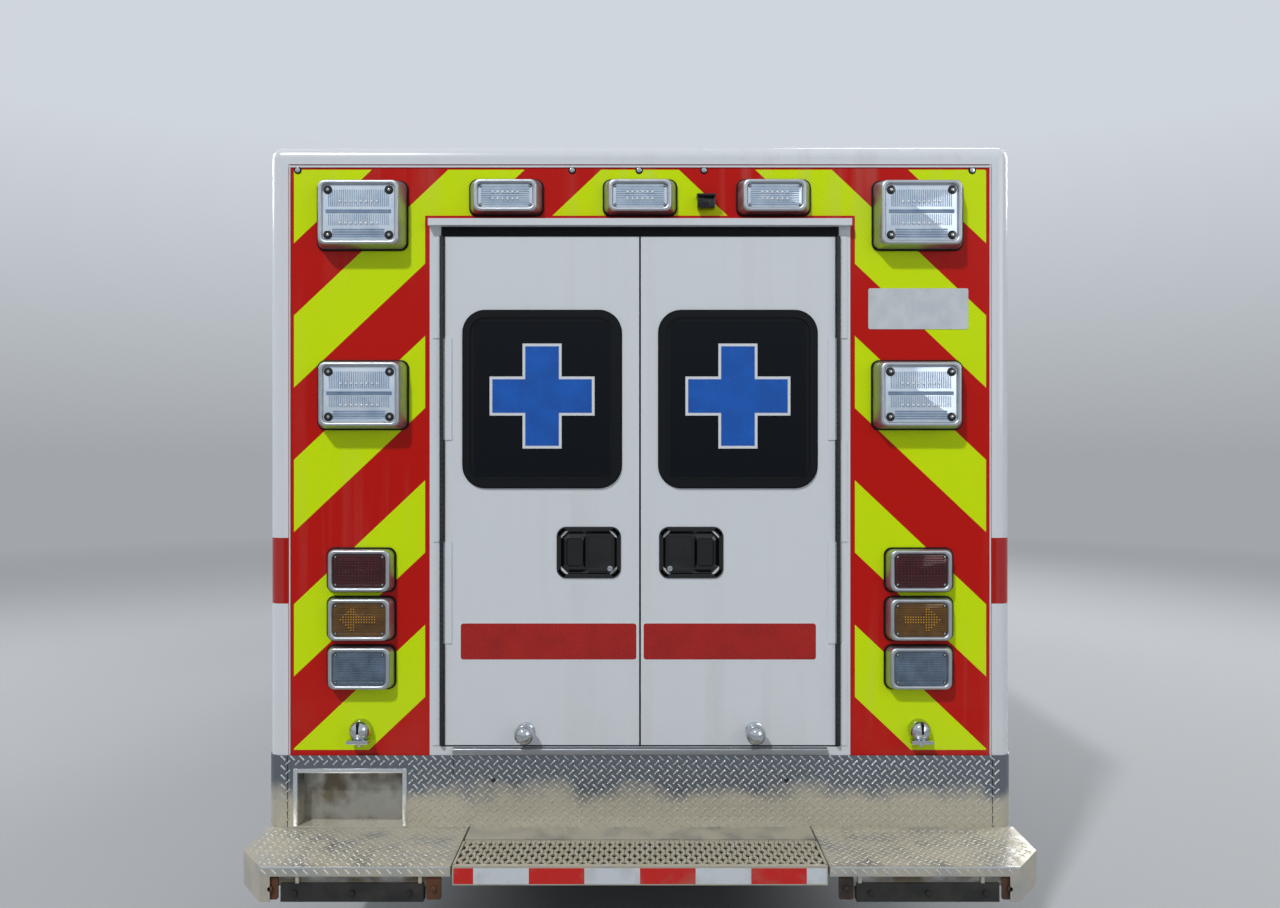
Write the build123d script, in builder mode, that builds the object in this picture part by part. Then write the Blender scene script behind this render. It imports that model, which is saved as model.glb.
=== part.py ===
from build123d import *
import math
import os

# A box-bodied ambulance on a cutaway van chassis with twin rear wheels.
# +Y points to the nose, +X to the vehicle's right side, +Z up, all in millimetres.
# The origin lies on the ground, in the middle of the length and of the width.

# Lengths along the vehicle, from tail to nose
bumper_depth = 310
box_length = 4300
cab_reach = 2520
total_length = bumper_depth + box_length + cab_reach
tail_y = -total_length / 2
box_rear = tail_y + bumper_depth
box_front = box_rear + box_length
nose_y = box_front + cab_reach
front_overhang = 760
rear_axle_setback = 2047
front_axle_y = nose_y - front_overhang
rear_axle_y = box_rear + rear_axle_setback

# Patient box
box_width = 2438
box_half = box_width / 2
roof_z = 2764
skirt_z = 440
box_wall = 50
inner_half = box_half - box_wall
floor_z = 790
floor_thick = 60
floor_base = floor_z - floor_thick
box_edge_radius = 40
door_gap = 5
window_corner = 72
window_proud = 8
window_gap = 1
pane_sink = 5
frame_width = 22

# Rear face: recessed panel, door frame and drip rail
panel_recess = 4
panel_half = 1153
panel_top = 2700
door_frame = 38
drip_height = 22
drip_reach = 28
rear_wall_cut = 490

# Rear doors
middle_seam = 6
leaf_width = 644
leaf_height = 1668
leaf_bottom = floor_z + door_gap
rear_opening_half = middle_seam / 2 + leaf_width + door_gap
rear_opening_top = leaf_bottom + leaf_height + door_gap
hinge_radius = 6
hinge_leaf = 30
hinge_sheet = 3
hinge_knuckles = 5
pin_clearance = 0.3
rear_window_size = (516, 578)
rear_window_x = 321
rear_window_z = 1930
handle_size = (193, 151)
handle_corner = 34
handle_sink = 28
handle_proud = 9
locker_handle = (150, 110)
handle_x = 168
handle_z = 1427
knob_x = 375
knob_z = 842
knob_reach = 78
knob_radius = 35
hook_x = 915
hook_reach = 60

# Rear bumper, step and kick plate
bumper_top = 528
bumper_plate = 4
kick_sheet = 4
kick_top = 762
kick_wrap = 120
wing_inner = 562
wing_outer = box_half + 3
wing_corner_depth = 190
wing_tail_half = box_half - 93
wing_flange = 28
wing_cheek = 104
step_half = 556
step_pivot_depth = 118
step_pivot_drop = 6
step_barrel = 5
step_barrel_inset = 56
step_strip_depth = 106
step_start = 126
step_face = 54
step_sheet = 4
beam_depth = (30, 96)
beam_height = (430, 478)
bracket_thick = 12
rubber_size = (423, 30, 54)
rubber_x = 853
rubber_z = beam_height[1] - rubber_size[2] / 2

# Licence plate recess, on the left of the kick plate
recess_x = -950
recess_size = (341, 174)
recess_z = bumper_top + 3 + recess_size[1] / 2
recess_depth = 56
plate_holes = (177.8, 120.6)
plate_hole_radius = 3.5

# Lockers in the box sides: name, side, rear edge and front edge from the box's rear, bottom, top
locker_depth = 450
liner = 20
lockers = [
    ("locker_door_front_left", -1, 3600, 4210, 480, 2150),
    ("locker_door_middle_left", -1, 2620, 3440, 480, 1330),
    ("locker_door_rear_left", -1, 330, 1330, 480, 1900),
    ("locker_door_rear_right", 1, 330, 1330, 480, 1330),
]
# Side door for the crew, on the right: edges from the box's rear, bottom, top
entry = (2885, 3685, 480, 2440)
entry_well = 420
entry_window_size = (440, 560)
entry_window_z = 1930
# Fixed side windows: side, rear edge, front edge, bottom, top
side_windows = [(-1, 2700, 3360, 1720, 2140), (1, 1600, 2340, 1720, 2140)]
pass_half = 420
pass_bottom = 800
pass_top = 1990

# Wheels
tyre_radius = 372
tyre_width = 225
rim_radius = 203
rim_wall = 12
rim_half = 104
disc_thick = 12
hand_hole_radius = 21
hand_hole_circle = 118
hand_holes = 8
front_wheel_x = 850
dual_x = 925
dual_spacing = 265
spindle_radius = 32
shaft_clearance = 0.3
kingpin_x = 772
rear_arch_radius = tyre_radius + 62
front_arch_radius = tyre_radius + 80
arch_liner = 10

# Cab
cab_wall = 40
cab_gap = 6
cab_half = 1008
rocker_z = 430
shoulder_z = 1010
belt_z = 1350
belt_half = 985
cant_half = 872
cant_z = 2055
cab_roof = 2122
cab_floor_z = 640
cab_floor_thick = 40
cowl_y = nose_y - 920
cowl_panel = 60
nose_brow_z = 1000
screen_bow = 150
screen_run = 640 / 680
hood_half = 760
hood_crown = 14
hood_drop = 0.3
hood_shoulder_radius = 100
nose_face_y = nose_y - 110
nose_seam_y = nose_y - 270
nose_seam_z = 1040
nose_bow = 55
fender_top = 1290
panel_seam = 4
sill_inner = 900
door_rear_y = box_front + 115
door_front_y = front_axle_y - 505
door_bottom = 520
door_top = 1990
firewall_y = cowl_y - 110
firewall_thick = 40
grille_half = 500
grille_low = 716
grille_high = 1006
grille_bars = 6
grille_bar = 22
headlamp_inner = 540
headlamp_outer = 880
headlamp_low = 770
glass_sink = 10
glass_thick = 6
front_bumper_low = 480
front_bumper_high = 680
front_bumper_half = 1014
front_bumper_wall = 40
front_bumper_reach = 260
cab_pin_radius = cab_gap / 2 - pin_clearance
cab_hinge_z = (620, 900)
cab_hinge_height = 80
seam_tab = 28
mirror_x = 1200
mirror_y = door_front_y - 150
mirror_low = 1390
mirror_size = (220, 90, 400)
mirror_arms = (1100, 1290)
mirror_tube = 14

# Chassis
rail_x = 430
rail_width = 70
rail_web = 8
rail_height = 180
cab_rail_top = 570
cab_rail_height = 140
rail_rear = box_rear + 60
rail_front = nose_face_y - 70
axle_tube = 45
pinion_reach = 230
kingpin_radius = 16
fork_thick = 28
drum_radius = 150
drum_width = 46
hub_radius = 72
front_hub_reach = 16
rear_hub_reach = 110
dish_slope = 30
gearbox_z = 470

os.makedirs("parts", exist_ok=True)


def save(piece, name):
    """Labels a finished piece and writes it as the node of that name."""
    piece.label = name
    export_step(piece, "parts/" + name + ".step")


def slab(low, high, mode=Mode.ADD):
    """A box between two corners, in the part being made."""
    middle = tuple((a + b) / 2 for a, b in zip(low, high))
    with Locations(middle):
        Box(*(b - a for a, b in zip(low, high)), mode=mode)


def side_slab(side, x, y, z, mode=Mode.ADD):
    """A box given by its near and far x on one side of the vehicle."""
    xs = sorted((side * x[0], side * x[1]))
    slab((xs[0], y[0], z[0]), (xs[1], y[1], z[1]), mode)


def rear_plane(x, z, y=box_rear):
    """A plane on the rear face, its normal pointing backwards."""
    return Plane(origin=(x, y, z), x_dir=(1, 0, 0), z_dir=(0, -1, 0))


def side_plane(side, y, z):
    """A plane on a side of the box, its normal pointing outwards."""
    return Plane(origin=(side * box_half, y, z), x_dir=(0, side, 0), z_dir=(side, 0, 0))


def octagon_bar(place, radius, length):
    """An eight-sided bar from a plane, as wide over its flats as its radius says."""
    with BuildPart() as bar:
        with BuildSketch(place):
            RegularPolygon(radius, 8, major_radius=False)
        extrude(amount=length)
    return bar.part


def cut_block(place, size, corner, low, high):
    """A block with cut corners between two distances from a plane."""
    across = size[0] / 2 - corner
    up = size[1] / 2 - corner
    right = [(across, -size[1] / 2), (size[0] / 2, -up), (size[0] / 2, up), (across, size[1] / 2)]
    with BuildPart() as block:
        with BuildSketch(place.offset(low)):
            with BuildLine():
                Polyline(*right, *((-x, y) for x, y in reversed(right)), close=True)
            make_face()
        extrude(amount=high - low)
    return block.part


def knuckle_spans(low, high, moving):
    """Every second stretch of a hinge's barrel, those of its moving or of its fixed leaf."""
    pitch = (high - low) / hinge_knuckles
    return [(low + n * pitch + pin_clearance / 2, low + (n + 1) * pitch - pin_clearance / 2)
            for n in range(hinge_knuckles) if (n % 2 == 1) == moving]


def hinge_barrel(pin, low, high):
    """One stretch of a hinge's barrel round its upright pin, in the part being made."""
    add(octagon_bar(Plane(origin=(*pin, low)), hinge_radius, high - low))


def front_plane(x, z):
    """A plane on the box's front wall, its normal pointing to the nose."""
    return Plane(origin=(x, box_front, z), x_dir=(-1, 0, 0), z_dir=(0, 1, 0))


# Patient box envelope, which its four groups of panels share
with BuildPart() as envelope:
    with BuildSketch(Plane.XY.offset(skirt_z)):
        with Locations((0, (box_rear + box_front) / 2)):
            RectangleRounded(box_width, box_length, box_edge_radius)
    extrude(amount=roof_z - skirt_z)
    fillet(envelope.faces().sort_by(Axis.Z)[-1].edges(), box_edge_radius)

# Pins of the side doors' and the rear doors' hinges
side_pin_x = box_half + hinge_sheet / 2 + hinge_radius
rear_pin = (middle_seam / 2 + leaf_width + door_gap / 2, box_rear - hinge_sheet / 2 - hinge_radius)
leaf_top = leaf_bottom + leaf_height

wall_top = roof_z - box_wall
with BuildPart() as box_roof:
    add(envelope.part)
    slab((-box_half, box_rear, skirt_z), (box_half, box_front, wall_top), Mode.SUBTRACT)
save(box_roof.part, "box_roof")

with BuildPart() as box_sides:
    add(envelope.part)
    slab((-box_half, box_rear, wall_top), (box_half, box_front, roof_z), Mode.SUBTRACT)
    slab((-inner_half, box_rear, skirt_z), (inner_half, box_front, roof_z), Mode.SUBTRACT)
    for name, side, rear, front, low, high in lockers:
        side_slab(side, (inner_half, box_half), (box_rear + rear, box_rear + front), (low, high), Mode.SUBTRACT)
    entry_ys = (box_rear + entry[0], box_rear + entry[1])
    side_slab(1, (inner_half, box_half), entry_ys, (entry[2], entry[3]), Mode.SUBTRACT)
    for side in (-1, 1):
        with BuildSketch(Plane.YZ.offset(side * inner_half)):
            with Locations((rear_axle_y, tyre_radius)):
                Circle(rear_arch_radius)
        extrude(amount=side * box_wall, mode=Mode.SUBTRACT)
    for side, rear, front, low, high in side_windows:
        with BuildSketch(Plane.YZ.offset(side * inner_half)):
            with Locations((box_rear + (rear + front) / 2, (low + high) / 2)):
                RectangleRounded(front - rear, high - low, window_corner - frame_width + window_gap)
        extrude(amount=side * box_wall, mode=Mode.SUBTRACT)
    # Fixed leaves of the side doors' hinges, ahead of each opening
    leaves = [(side, box_rear + front, low, high) for name, side, rear, front, low, high in lockers]
    for side, front_edge, low, high in leaves + [(1, entry_ys[1], entry[2], entry[3])]:
        pin_y = front_edge - door_gap / 2
        for z in knuckle_spans(low + door_gap, high - door_gap, False):
            side_slab(side, (box_half, box_half + hinge_sheet), (pin_y, pin_y + hinge_leaf), z)
            side_slab(side, (box_half, side_pin_x), (pin_y, pin_y + hinge_radius), z)
            hinge_barrel((side * side_pin_x, pin_y), *z)
save(box_sides.part, "box_sides")

# Sheet metal boxes behind the lockers' doors, and the step well inside the crew door
with BuildPart() as locker_boxes:
    for name, side, rear, front, low, high in lockers:
        ys = (box_rear + rear, box_rear + front)
        side_slab(side, (box_half - locker_depth - liner, inner_half), (ys[0] - liner, ys[1] + liner),
                  (low - liner, high + liner))
        side_slab(side, (box_half - locker_depth, inner_half), ys, (low, high), Mode.SUBTRACT)
    side_slab(1, (box_half - entry_well - liner, inner_half), (entry_ys[0] - liner, entry_ys[1] + liner),
              (entry[2] - liner, floor_z))
    side_slab(1, (box_half - entry_well, inner_half), entry_ys, (entry[2], floor_z), Mode.SUBTRACT)
save(locker_boxes.part, "locker_boxes")

wheelhouse_inner = dual_x - dual_spacing / 2 - tyre_width / 2 - 40
wheelhouse_half = rear_arch_radius + 30
wheelhouse_top = tyre_radius + rear_arch_radius + 40
with BuildPart() as box_floor:
    slab((-inner_half, box_rear + box_wall, floor_base), (inner_half, box_front - box_wall, floor_z))
    for side in (-1, 1):
        side_slab(side, (wheelhouse_inner, inner_half),
                  (rear_axle_y - wheelhouse_half, rear_axle_y + wheelhouse_half), (floor_base, wheelhouse_top))
        with BuildSketch(Plane.YZ.offset(side * (wheelhouse_inner + liner))):
            with Locations((rear_axle_y, tyre_radius)):
                Circle(rear_arch_radius)
        extrude(amount=side * (inner_half - wheelhouse_inner), mode=Mode.SUBTRACT)
    for name, side, rear, front, low, high in lockers:
        ys = (box_rear + rear - liner, box_rear + front + liner)
        side_slab(side, (box_half - locker_depth - liner, inner_half), ys, (floor_base, floor_z), Mode.SUBTRACT)
    side_slab(1, (box_half - entry_well - liner, inner_half), (entry_ys[0] - liner, entry_ys[1] + liner),
              (floor_base, floor_z), Mode.SUBTRACT)
save(box_floor.part, "box_floor")

frame_half = rear_opening_half + door_frame
frame_top = rear_opening_top + door_frame + drip_height / 2
with BuildPart() as box_ends:
    slab((-inner_half, box_rear, skirt_z), (inner_half, box_rear + box_wall, wall_top))
    slab((-inner_half, box_front - box_wall, skirt_z), (inner_half, box_front, wall_top))
    slab((-rear_opening_half, box_rear, floor_z), (rear_opening_half, box_rear + box_wall, rear_opening_top),
         Mode.SUBTRACT)
    for side in (-1, 1):
        side_slab(side, (frame_half, panel_half), (box_rear, box_rear + panel_recess), (kick_top, panel_top),
                  Mode.SUBTRACT)
    slab((-frame_half, box_rear, frame_top), (frame_half, box_rear + panel_recess, panel_top), Mode.SUBTRACT)
    slab((-frame_half, box_rear - drip_reach, frame_top - drip_height), (frame_half, box_rear, frame_top))
    slab((-inner_half + 40, box_rear, skirt_z), (inner_half - 40, box_rear + box_wall, rear_wall_cut),
         Mode.SUBTRACT)
    slab((-inner_half + 40, box_front - box_wall, skirt_z), (inner_half - 40, box_front, floor_base),
         Mode.SUBTRACT)
    hole = (recess_size[0] / 2 + 6, recess_size[1] / 2 + 6)
    slab((recess_x - hole[0], box_rear, recess_z - hole[1]),
         (recess_x + hole[0], box_rear + box_wall, recess_z + hole[1]), Mode.SUBTRACT)
    slab((-pass_half, box_front - box_wall, pass_bottom), (pass_half, box_front, pass_top), Mode.SUBTRACT)
    for side in (-1, 1):
        for z in knuckle_spans(leaf_bottom, leaf_top, False):
            side_slab(side, (rear_pin[0], rear_pin[0] + hinge_leaf), (box_rear - hinge_sheet, box_rear), z)
            side_slab(side, (rear_pin[0], rear_pin[0] + hinge_radius), (rear_pin[1], box_rear), z)
            hinge_barrel((side * rear_pin[0], rear_pin[1]), *z)
save(box_ends.part, "box_ends")


def ring_window(place, size, depth):
    """A pane with a raised rim; the place is the panel's outer plane and depth goes into its opening."""
    with BuildPart() as window:
        with BuildSketch(place):
            RectangleRounded(*size, window_corner)
        extrude(amount=window_proud)
        with BuildSketch(place.offset(window_proud)):
            RectangleRounded(size[0] - 2 * frame_width, size[1] - 2 * frame_width, window_corner - frame_width)
        extrude(amount=-pane_sink, mode=Mode.SUBTRACT)
        with BuildSketch(place):
            RectangleRounded(size[0] - 2 * frame_width, size[1] - 2 * frame_width, window_corner - frame_width)
        extrude(amount=-depth)
    return window.part


def window_hole(size):
    """The opening's size behind a window's rim."""
    return (size[0] - 2 * frame_width + 2 * window_gap, size[1] - 2 * frame_width + 2 * window_gap)


# Rear doors, hinged at their outer edges
pane_depth = box_wall - 12
for side, word in ((-1, "left"), (1, "right")):
    edge = middle_seam / 2 + leaf_width
    with BuildPart() as rear_door:
        side_slab(side, (middle_seam / 2, edge), (box_rear, box_rear + box_wall), (leaf_bottom, leaf_top))
        with BuildSketch(rear_plane(side * rear_window_x, rear_window_z)):
            RectangleRounded(*window_hole(rear_window_size), window_corner - frame_width + window_gap)
        extrude(amount=-box_wall, mode=Mode.SUBTRACT)
        handle_place = rear_plane(side * handle_x, handle_z)
        add(cut_block(handle_place, handle_size, handle_corner, -handle_sink, 0), mode=Mode.SUBTRACT)
        for z in knuckle_spans(leaf_bottom, leaf_top, True):
            side_slab(side, (edge - hinge_leaf, edge), (box_rear - hinge_sheet, box_rear), z)
            side_slab(side, (edge - hinge_radius, edge), (rear_pin[1], box_rear), z)
            hinge_barrel((side * rear_pin[0], rear_pin[1]), *z)
    save(rear_door.part, "rear_door_" + word)
    save(ring_window(rear_plane(side * rear_window_x, rear_window_z), rear_window_size, pane_depth),
         "rear_window_" + word)
    # Handle pan with its paddle, and the ball that the wall's hook catches
    with BuildPart() as fittings:
        add(cut_block(handle_place, handle_size, handle_corner, -handle_sink, 0))
        add(cut_block(handle_place, [d + 18 for d in handle_size], handle_corner + 9, 0, 3))
        add(cut_block(handle_place, [d - 22 for d in handle_size], handle_corner - 11, 4 - handle_sink, 3),
            mode=Mode.SUBTRACT)
        add(cut_block(rear_plane(side * handle_x, handle_z - 12), (handle_size[0] - 52, handle_size[1] - 72), 18,
                      -handle_sink, handle_proud))
        # The ball is turned from a short profile: foot, stem and a barrelled head
        with BuildSketch(Plane(origin=(side * knob_x, box_rear, knob_z), x_dir=(1, 0, 0), z_dir=(0, 0, 1))):
            with BuildLine():
                Polyline((0, 0), (knob_radius, 0), (knob_radius, -8), (knob_radius / 2, -14),
                         (knob_radius / 2, 1.9 * knob_radius - knob_reach), (knob_radius, 1.3 * knob_radius - knob_reach),
                         (knob_radius, 0.6 * knob_radius - knob_reach), (knob_radius / 2, -knob_reach),
                         (0, -knob_reach), close=True)
            make_face()
        revolve(axis=Axis((side * knob_x, box_rear, knob_z), (0, 1, 0)))
    save(fittings.part, "door_fittings_" + word)

# Hooks on the wall that hold the rear doors open
with BuildPart() as door_hooks:
    for side in (-1, 1):
        wall_y = box_rear + panel_recess
        side_slab(side, (hook_x - 32, hook_x + 32), (wall_y - 10, wall_y), (knob_z - 48, knob_z + 48))
        side_slab(side, (hook_x - 20, hook_x + 20), (wall_y - hook_reach, wall_y - 10), (knob_z - 10, knob_z + 10))
        side_slab(side, (hook_x - 20, hook_x + 20), (wall_y - hook_reach, wall_y - hook_reach + 12),
                  (knob_z - 10, knob_z + 34))
save(door_hooks.part, "door_hooks")

# Fixed windows of the box
with BuildPart() as box_windows:
    for side, rear, front, low, high in side_windows:
        grow = 2 * frame_width
        size = (front - rear - 2 * window_gap + grow, high - low - 2 * window_gap + grow)
        add(ring_window(side_plane(side, box_rear + (rear + front) / 2, (low + high) / 2), size, pane_depth))
save(box_windows.part, "box_windows")


def side_leaf(side, rear, front, low, high, window=None):
    """A door in a side of the box, hinged at its front edge."""
    ys = (rear + door_gap, front - door_gap)
    zs = (low + door_gap, high - door_gap)
    with BuildPart() as leaf:
        side_slab(side, (inner_half, box_half), ys, zs)
        for z in knuckle_spans(*zs, True):
            side_slab(side, (box_half, box_half + hinge_sheet), (ys[1] - hinge_leaf, ys[1]), z)
            side_slab(side, (box_half, side_pin_x), (ys[1] - hinge_radius, ys[1]), z)
            hinge_barrel((side * side_pin_x, ys[1] + door_gap / 2), *z)
        handle_plane = side_plane(side, ys[0] + 120, min(1180, zs[1] - 120))
        if window:
            with BuildSketch(side_plane(side, (ys[0] + ys[1]) / 2, entry_window_z)):
                RectangleRounded(*window_hole(window), window_corner - frame_width + window_gap)
            extrude(amount=-box_wall, mode=Mode.SUBTRACT)
        add(cut_block(handle_plane, locker_handle, 24, -handle_sink, 0), mode=Mode.SUBTRACT)
        add(cut_block(handle_plane, [d - 54 for d in locker_handle], 14, -handle_sink, 6))
    return leaf.part


for name, side, rear, front, low, high in lockers:
    save(side_leaf(side, box_rear + rear, box_rear + front, low, high), name)
save(side_leaf(1, *entry_ys, entry[2], entry[3], entry_window_size), "side_door")
save(ring_window(side_plane(1, sum(entry_ys) / 2, entry_window_z), entry_window_size, pane_depth),
     "side_door_window")

# Kick plate round the tail with the licence plate recess and the door threshold
with BuildPart() as kick_plate:
    with BuildSketch(Plane.XY.offset(bumper_top)):
        with Locations((0, (box_rear + box_front) / 2)):
            RectangleRounded(box_width + 2 * kick_sheet, box_length + 2 * kick_sheet, box_edge_radius + kick_sheet)
            RectangleRounded(box_width, box_length, box_edge_radius, mode=Mode.SUBTRACT)
    extrude(amount=kick_top - bumper_top)
    slab((-box_width, box_rear + kick_wrap, 0), (box_width, nose_y, roof_z), Mode.SUBTRACT)
    with BuildSketch(rear_plane(recess_x, recess_z, box_rear - kick_sheet)):
        Rectangle(recess_size[0] + 2 * kick_sheet, recess_size[1] + 2 * kick_sheet)
    extrude(amount=-recess_depth - kick_sheet)
    with BuildSketch(rear_plane(recess_x, recess_z, box_rear - kick_sheet)):
        Rectangle(*recess_size)
    extrude(amount=-recess_depth, mode=Mode.SUBTRACT)
    with Locations(rear_plane(recess_x, recess_z)):
        with GridLocations(*plate_holes, 2, 2):
            Cylinder(plate_hole_radius, 4 * recess_depth, mode=Mode.SUBTRACT)
    slab((-rear_opening_half + 40, box_rear - 12, kick_top + 3), (rear_opening_half - 40, box_rear, floor_z - 2))
save(kick_plate.part, "rear_kick_plate")

# Rear bumper: two wings, the strip between them and the beam that carries all three
plate_low = bumper_top - bumper_plate
wing_rear = box_rear - kick_sheet
pivot_y = box_rear - step_pivot_depth
pivot_z = bumper_top - step_pivot_drop
with BuildPart() as rear_bumper:
    for side in (-1, 1):
        with BuildSketch(Plane.XY.offset(bumper_top - wing_cheek)):
            with BuildLine():
                Polyline((side * wing_inner, wing_rear), (side * wing_outer, wing_rear),
                         (side * wing_outer, box_rear - wing_corner_depth), (side * wing_tail_half, tail_y),
                         (side * wing_inner, tail_y), close=True)
            make_face()
        extrude(amount=wing_cheek)
        with BuildSketch(Plane.XY.offset(bumper_top - wing_cheek)):
            with BuildLine():
                Polyline((side * (wing_inner + bumper_plate), wing_rear),
                         (side * (wing_outer - bumper_plate), wing_rear),
                         (side * (wing_outer - bumper_plate), box_rear - wing_corner_depth),
                         (side * (wing_tail_half - bumper_plate), tail_y + bumper_plate),
                         (side * (wing_inner + bumper_plate), tail_y + bumper_plate), close=True)
            make_face()
        extrude(amount=wing_cheek - bumper_plate, mode=Mode.SUBTRACT)
        side_slab(side, (wing_inner, wing_tail_half - 30), (tail_y, wing_rear),
                  (bumper_top - wing_cheek, bumper_top - wing_flange), Mode.SUBTRACT)
    slab((-step_half, box_rear - step_strip_depth, plate_low), (step_half, wing_rear, bumper_top))
    slab((-step_half, box_rear - step_strip_depth, plate_low - 36),
         (step_half, box_rear - step_strip_depth + bumper_plate, bumper_top))
    for side in (-1, 1):
        knuckle_x = (step_half - step_barrel_inset + pin_clearance, step_half - step_barrel_inset + 30)
        side_slab(side, knuckle_x, (pivot_y, box_rear - step_strip_depth), (pivot_z - step_barrel, pivot_z))
        with BuildSketch(Plane.YZ.offset(side * knuckle_x[0])):
            with Locations((pivot_y, pivot_z)):
                Circle(step_barrel)
        extrude(amount=side * (knuckle_x[1] - knuckle_x[0]))
    slab((-wing_tail_half + 40, box_rear - beam_depth[1], beam_height[0]),
         (wing_tail_half - 40, box_rear - beam_depth[0], beam_height[1]))
    for side in (-1, 1):
        bracket = (rail_x - rail_width / 2 - bracket_thick, rail_x - rail_width / 2)
        side_slab(side, bracket, (box_rear - beam_depth[1], rail_rear + 80), beam_height)
        side_slab(side, bracket, (rail_rear, rail_rear + 80), (beam_height[0], floor_base - 30))
        side_slab(side, (rail_x - 20, rail_x + 40), (box_rear - beam_depth[1], box_rear - beam_depth[0]),
                  (beam_height[1], plate_low))
        for x in (wing_inner + 90, wing_tail_half - 110):
            side_slab(side, (x - 5, x + 5), (tail_y + bumper_plate, box_rear - beam_depth[0]),
                      (beam_height[1], plate_low))
            side_slab(side, (x - 5, x + 5), (tail_y + 32, box_rear - beam_depth[1]),
                      (beam_height[0], beam_height[1]))
save(rear_bumper.part, "rear_bumper")

# Rubber buffers below the wings
with BuildPart() as bumper_rubbers:
    for side in (-1, 1):
        side_slab(side, (rubber_x - rubber_size[0] / 2, rubber_x + rubber_size[0] / 2),
                  (tail_y + 2, tail_y + 2 + rubber_size[1]), (rubber_z - rubber_size[2] / 2,
                                                            rubber_z + rubber_size[2] / 2))
save(bumper_rubbers.part, "bumper_rubbers")

# Folding step: a sheet tray, open below, on a hinge barrel along its front edge
step_front = box_rear - step_start
with BuildPart() as rear_step:
    slab((-step_half, tail_y, bumper_top - step_face), (step_half, step_front, bumper_top))
    slab((-step_half + step_sheet, tail_y + step_sheet, bumper_top - step_face),
         (step_half - step_sheet, step_front - step_sheet, bumper_top - step_sheet), Mode.SUBTRACT)
    barrel_half = step_half - step_barrel_inset
    slab((-barrel_half, pivot_y - 10, pivot_z - step_barrel), (barrel_half, pivot_y, pivot_z + step_barrel))
    with BuildSketch(Plane.YZ.offset(-barrel_half)):
        with Locations((pivot_y, pivot_z)):
            Circle(step_barrel)
    extrude(amount=2 * barrel_half)
save(rear_step.part, "rear_step")


# Lamps on the box: base size, lens size and depth of each kind
lamp_kinds = {
    "scene": ((290, 220), (236, 184), 60),
    "warning": ((235, 112), (180, 80), 45),
    "tail": ((218, 137), (175, 112), 40),
}
# Lamp places on the rear face as (kind, x, z)
rear_lamps = [("scene", 910, 2531), ("scene", 908, 1943), ("warning", 438, 2590),
              ("tail", 914, 1370), ("tail", 914, 1211), ("tail", 914, 1052)]
# Lamp places on both sides as (kind, distance from the box's rear, z)
side_lamps = [("warning", 260, 2560), ("scene", 2150, 2560), ("warning", 4040, 2560)]
front_lamps = [("warning", 480, 2580), ("warning", 960, 2580)]
lamp_rim = 12
lamp_lip = 6
lamp_bevel = 12
lamp_corner = 22
lamp_clearance = 0.3


def lamp_planes(kind):
    """The planes of all lamps of a kind."""
    panel = box_rear + panel_recess
    places = [("warning", rear_plane(0, 2590, panel)), ("warning", front_plane(0, 2580))]
    for side in (-1, 1):
        places += [(lamp, rear_plane(side * x, z, panel)) for lamp, x, z in rear_lamps]
        places += [(lamp, side_plane(side, box_rear + y, z)) for lamp, y, z in side_lamps]
        places += [(lamp, front_plane(side * x, z)) for lamp, x, z in front_lamps]
    return [place for lamp, place in places if lamp == kind]


bezels = {}
lenses = {}
for kind, (base, lens, depth) in lamp_kinds.items():
    seat = [d + 2 * lamp_clearance for d in lens]
    with BuildPart() as bezel:
        add(cut_block(Plane.XY, base, lamp_corner, 0, depth / 2))
        chamfer(bezel.faces().sort_by(Axis.Z)[-1].edges(), lamp_bevel)
        add(cut_block(Plane.XY, [d + 2 * lamp_rim for d in lens], lamp_corner, depth / 2, depth - lamp_lip))
        add(cut_block(Plane.XY, seat, lamp_corner - lamp_rim / 2, depth / 2, depth), mode=Mode.SUBTRACT)
    bezels[kind] = bezel.part
    with BuildPart() as lens_block:
        add(cut_block(Plane.XY, lens, lamp_corner - lamp_rim / 2, depth / 2, depth))
        chamfer(lens_block.faces().sort_by(Axis.Z)[-1].edges(), 4)
    lenses[kind] = lens_block.part

with BuildPart() as lamp_bezels:
    for kind, piece in bezels.items():
        with Locations(*lamp_planes(kind)):
            add(piece)
save(lamp_bezels.part, "lamp_bezels")

with BuildPart() as lamp_lenses:
    for kind, piece in lenses.items():
        with Locations(*lamp_planes(kind)):
            add(piece)
save(lamp_lenses.part, "lamp_lenses")

# Cab outline seen from the front: right half from below the rocker to the roof
cab_section = [(cab_half - 10, rocker_z - 200), (cab_half, 620), (cab_half, shoulder_z), (belt_half, belt_z),
               (cant_half, cant_z), (cant_half - 70, cab_roof - 12), (0, cab_roof)]
far_below = rocker_z - 200
screen_foot_y = cowl_y - cowl_panel
# The nose seen from above and from the side
nose_taper_y = front_axle_y + 200
nose_corner_half = 950
hood_start_y = cowl_y - 50


def draw_in(inset):
    """Shrinks the sketch being made by an inset, if there is one."""
    if inset:
        offset(amount=-inset, kind=Kind.INTERSECTION)


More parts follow.
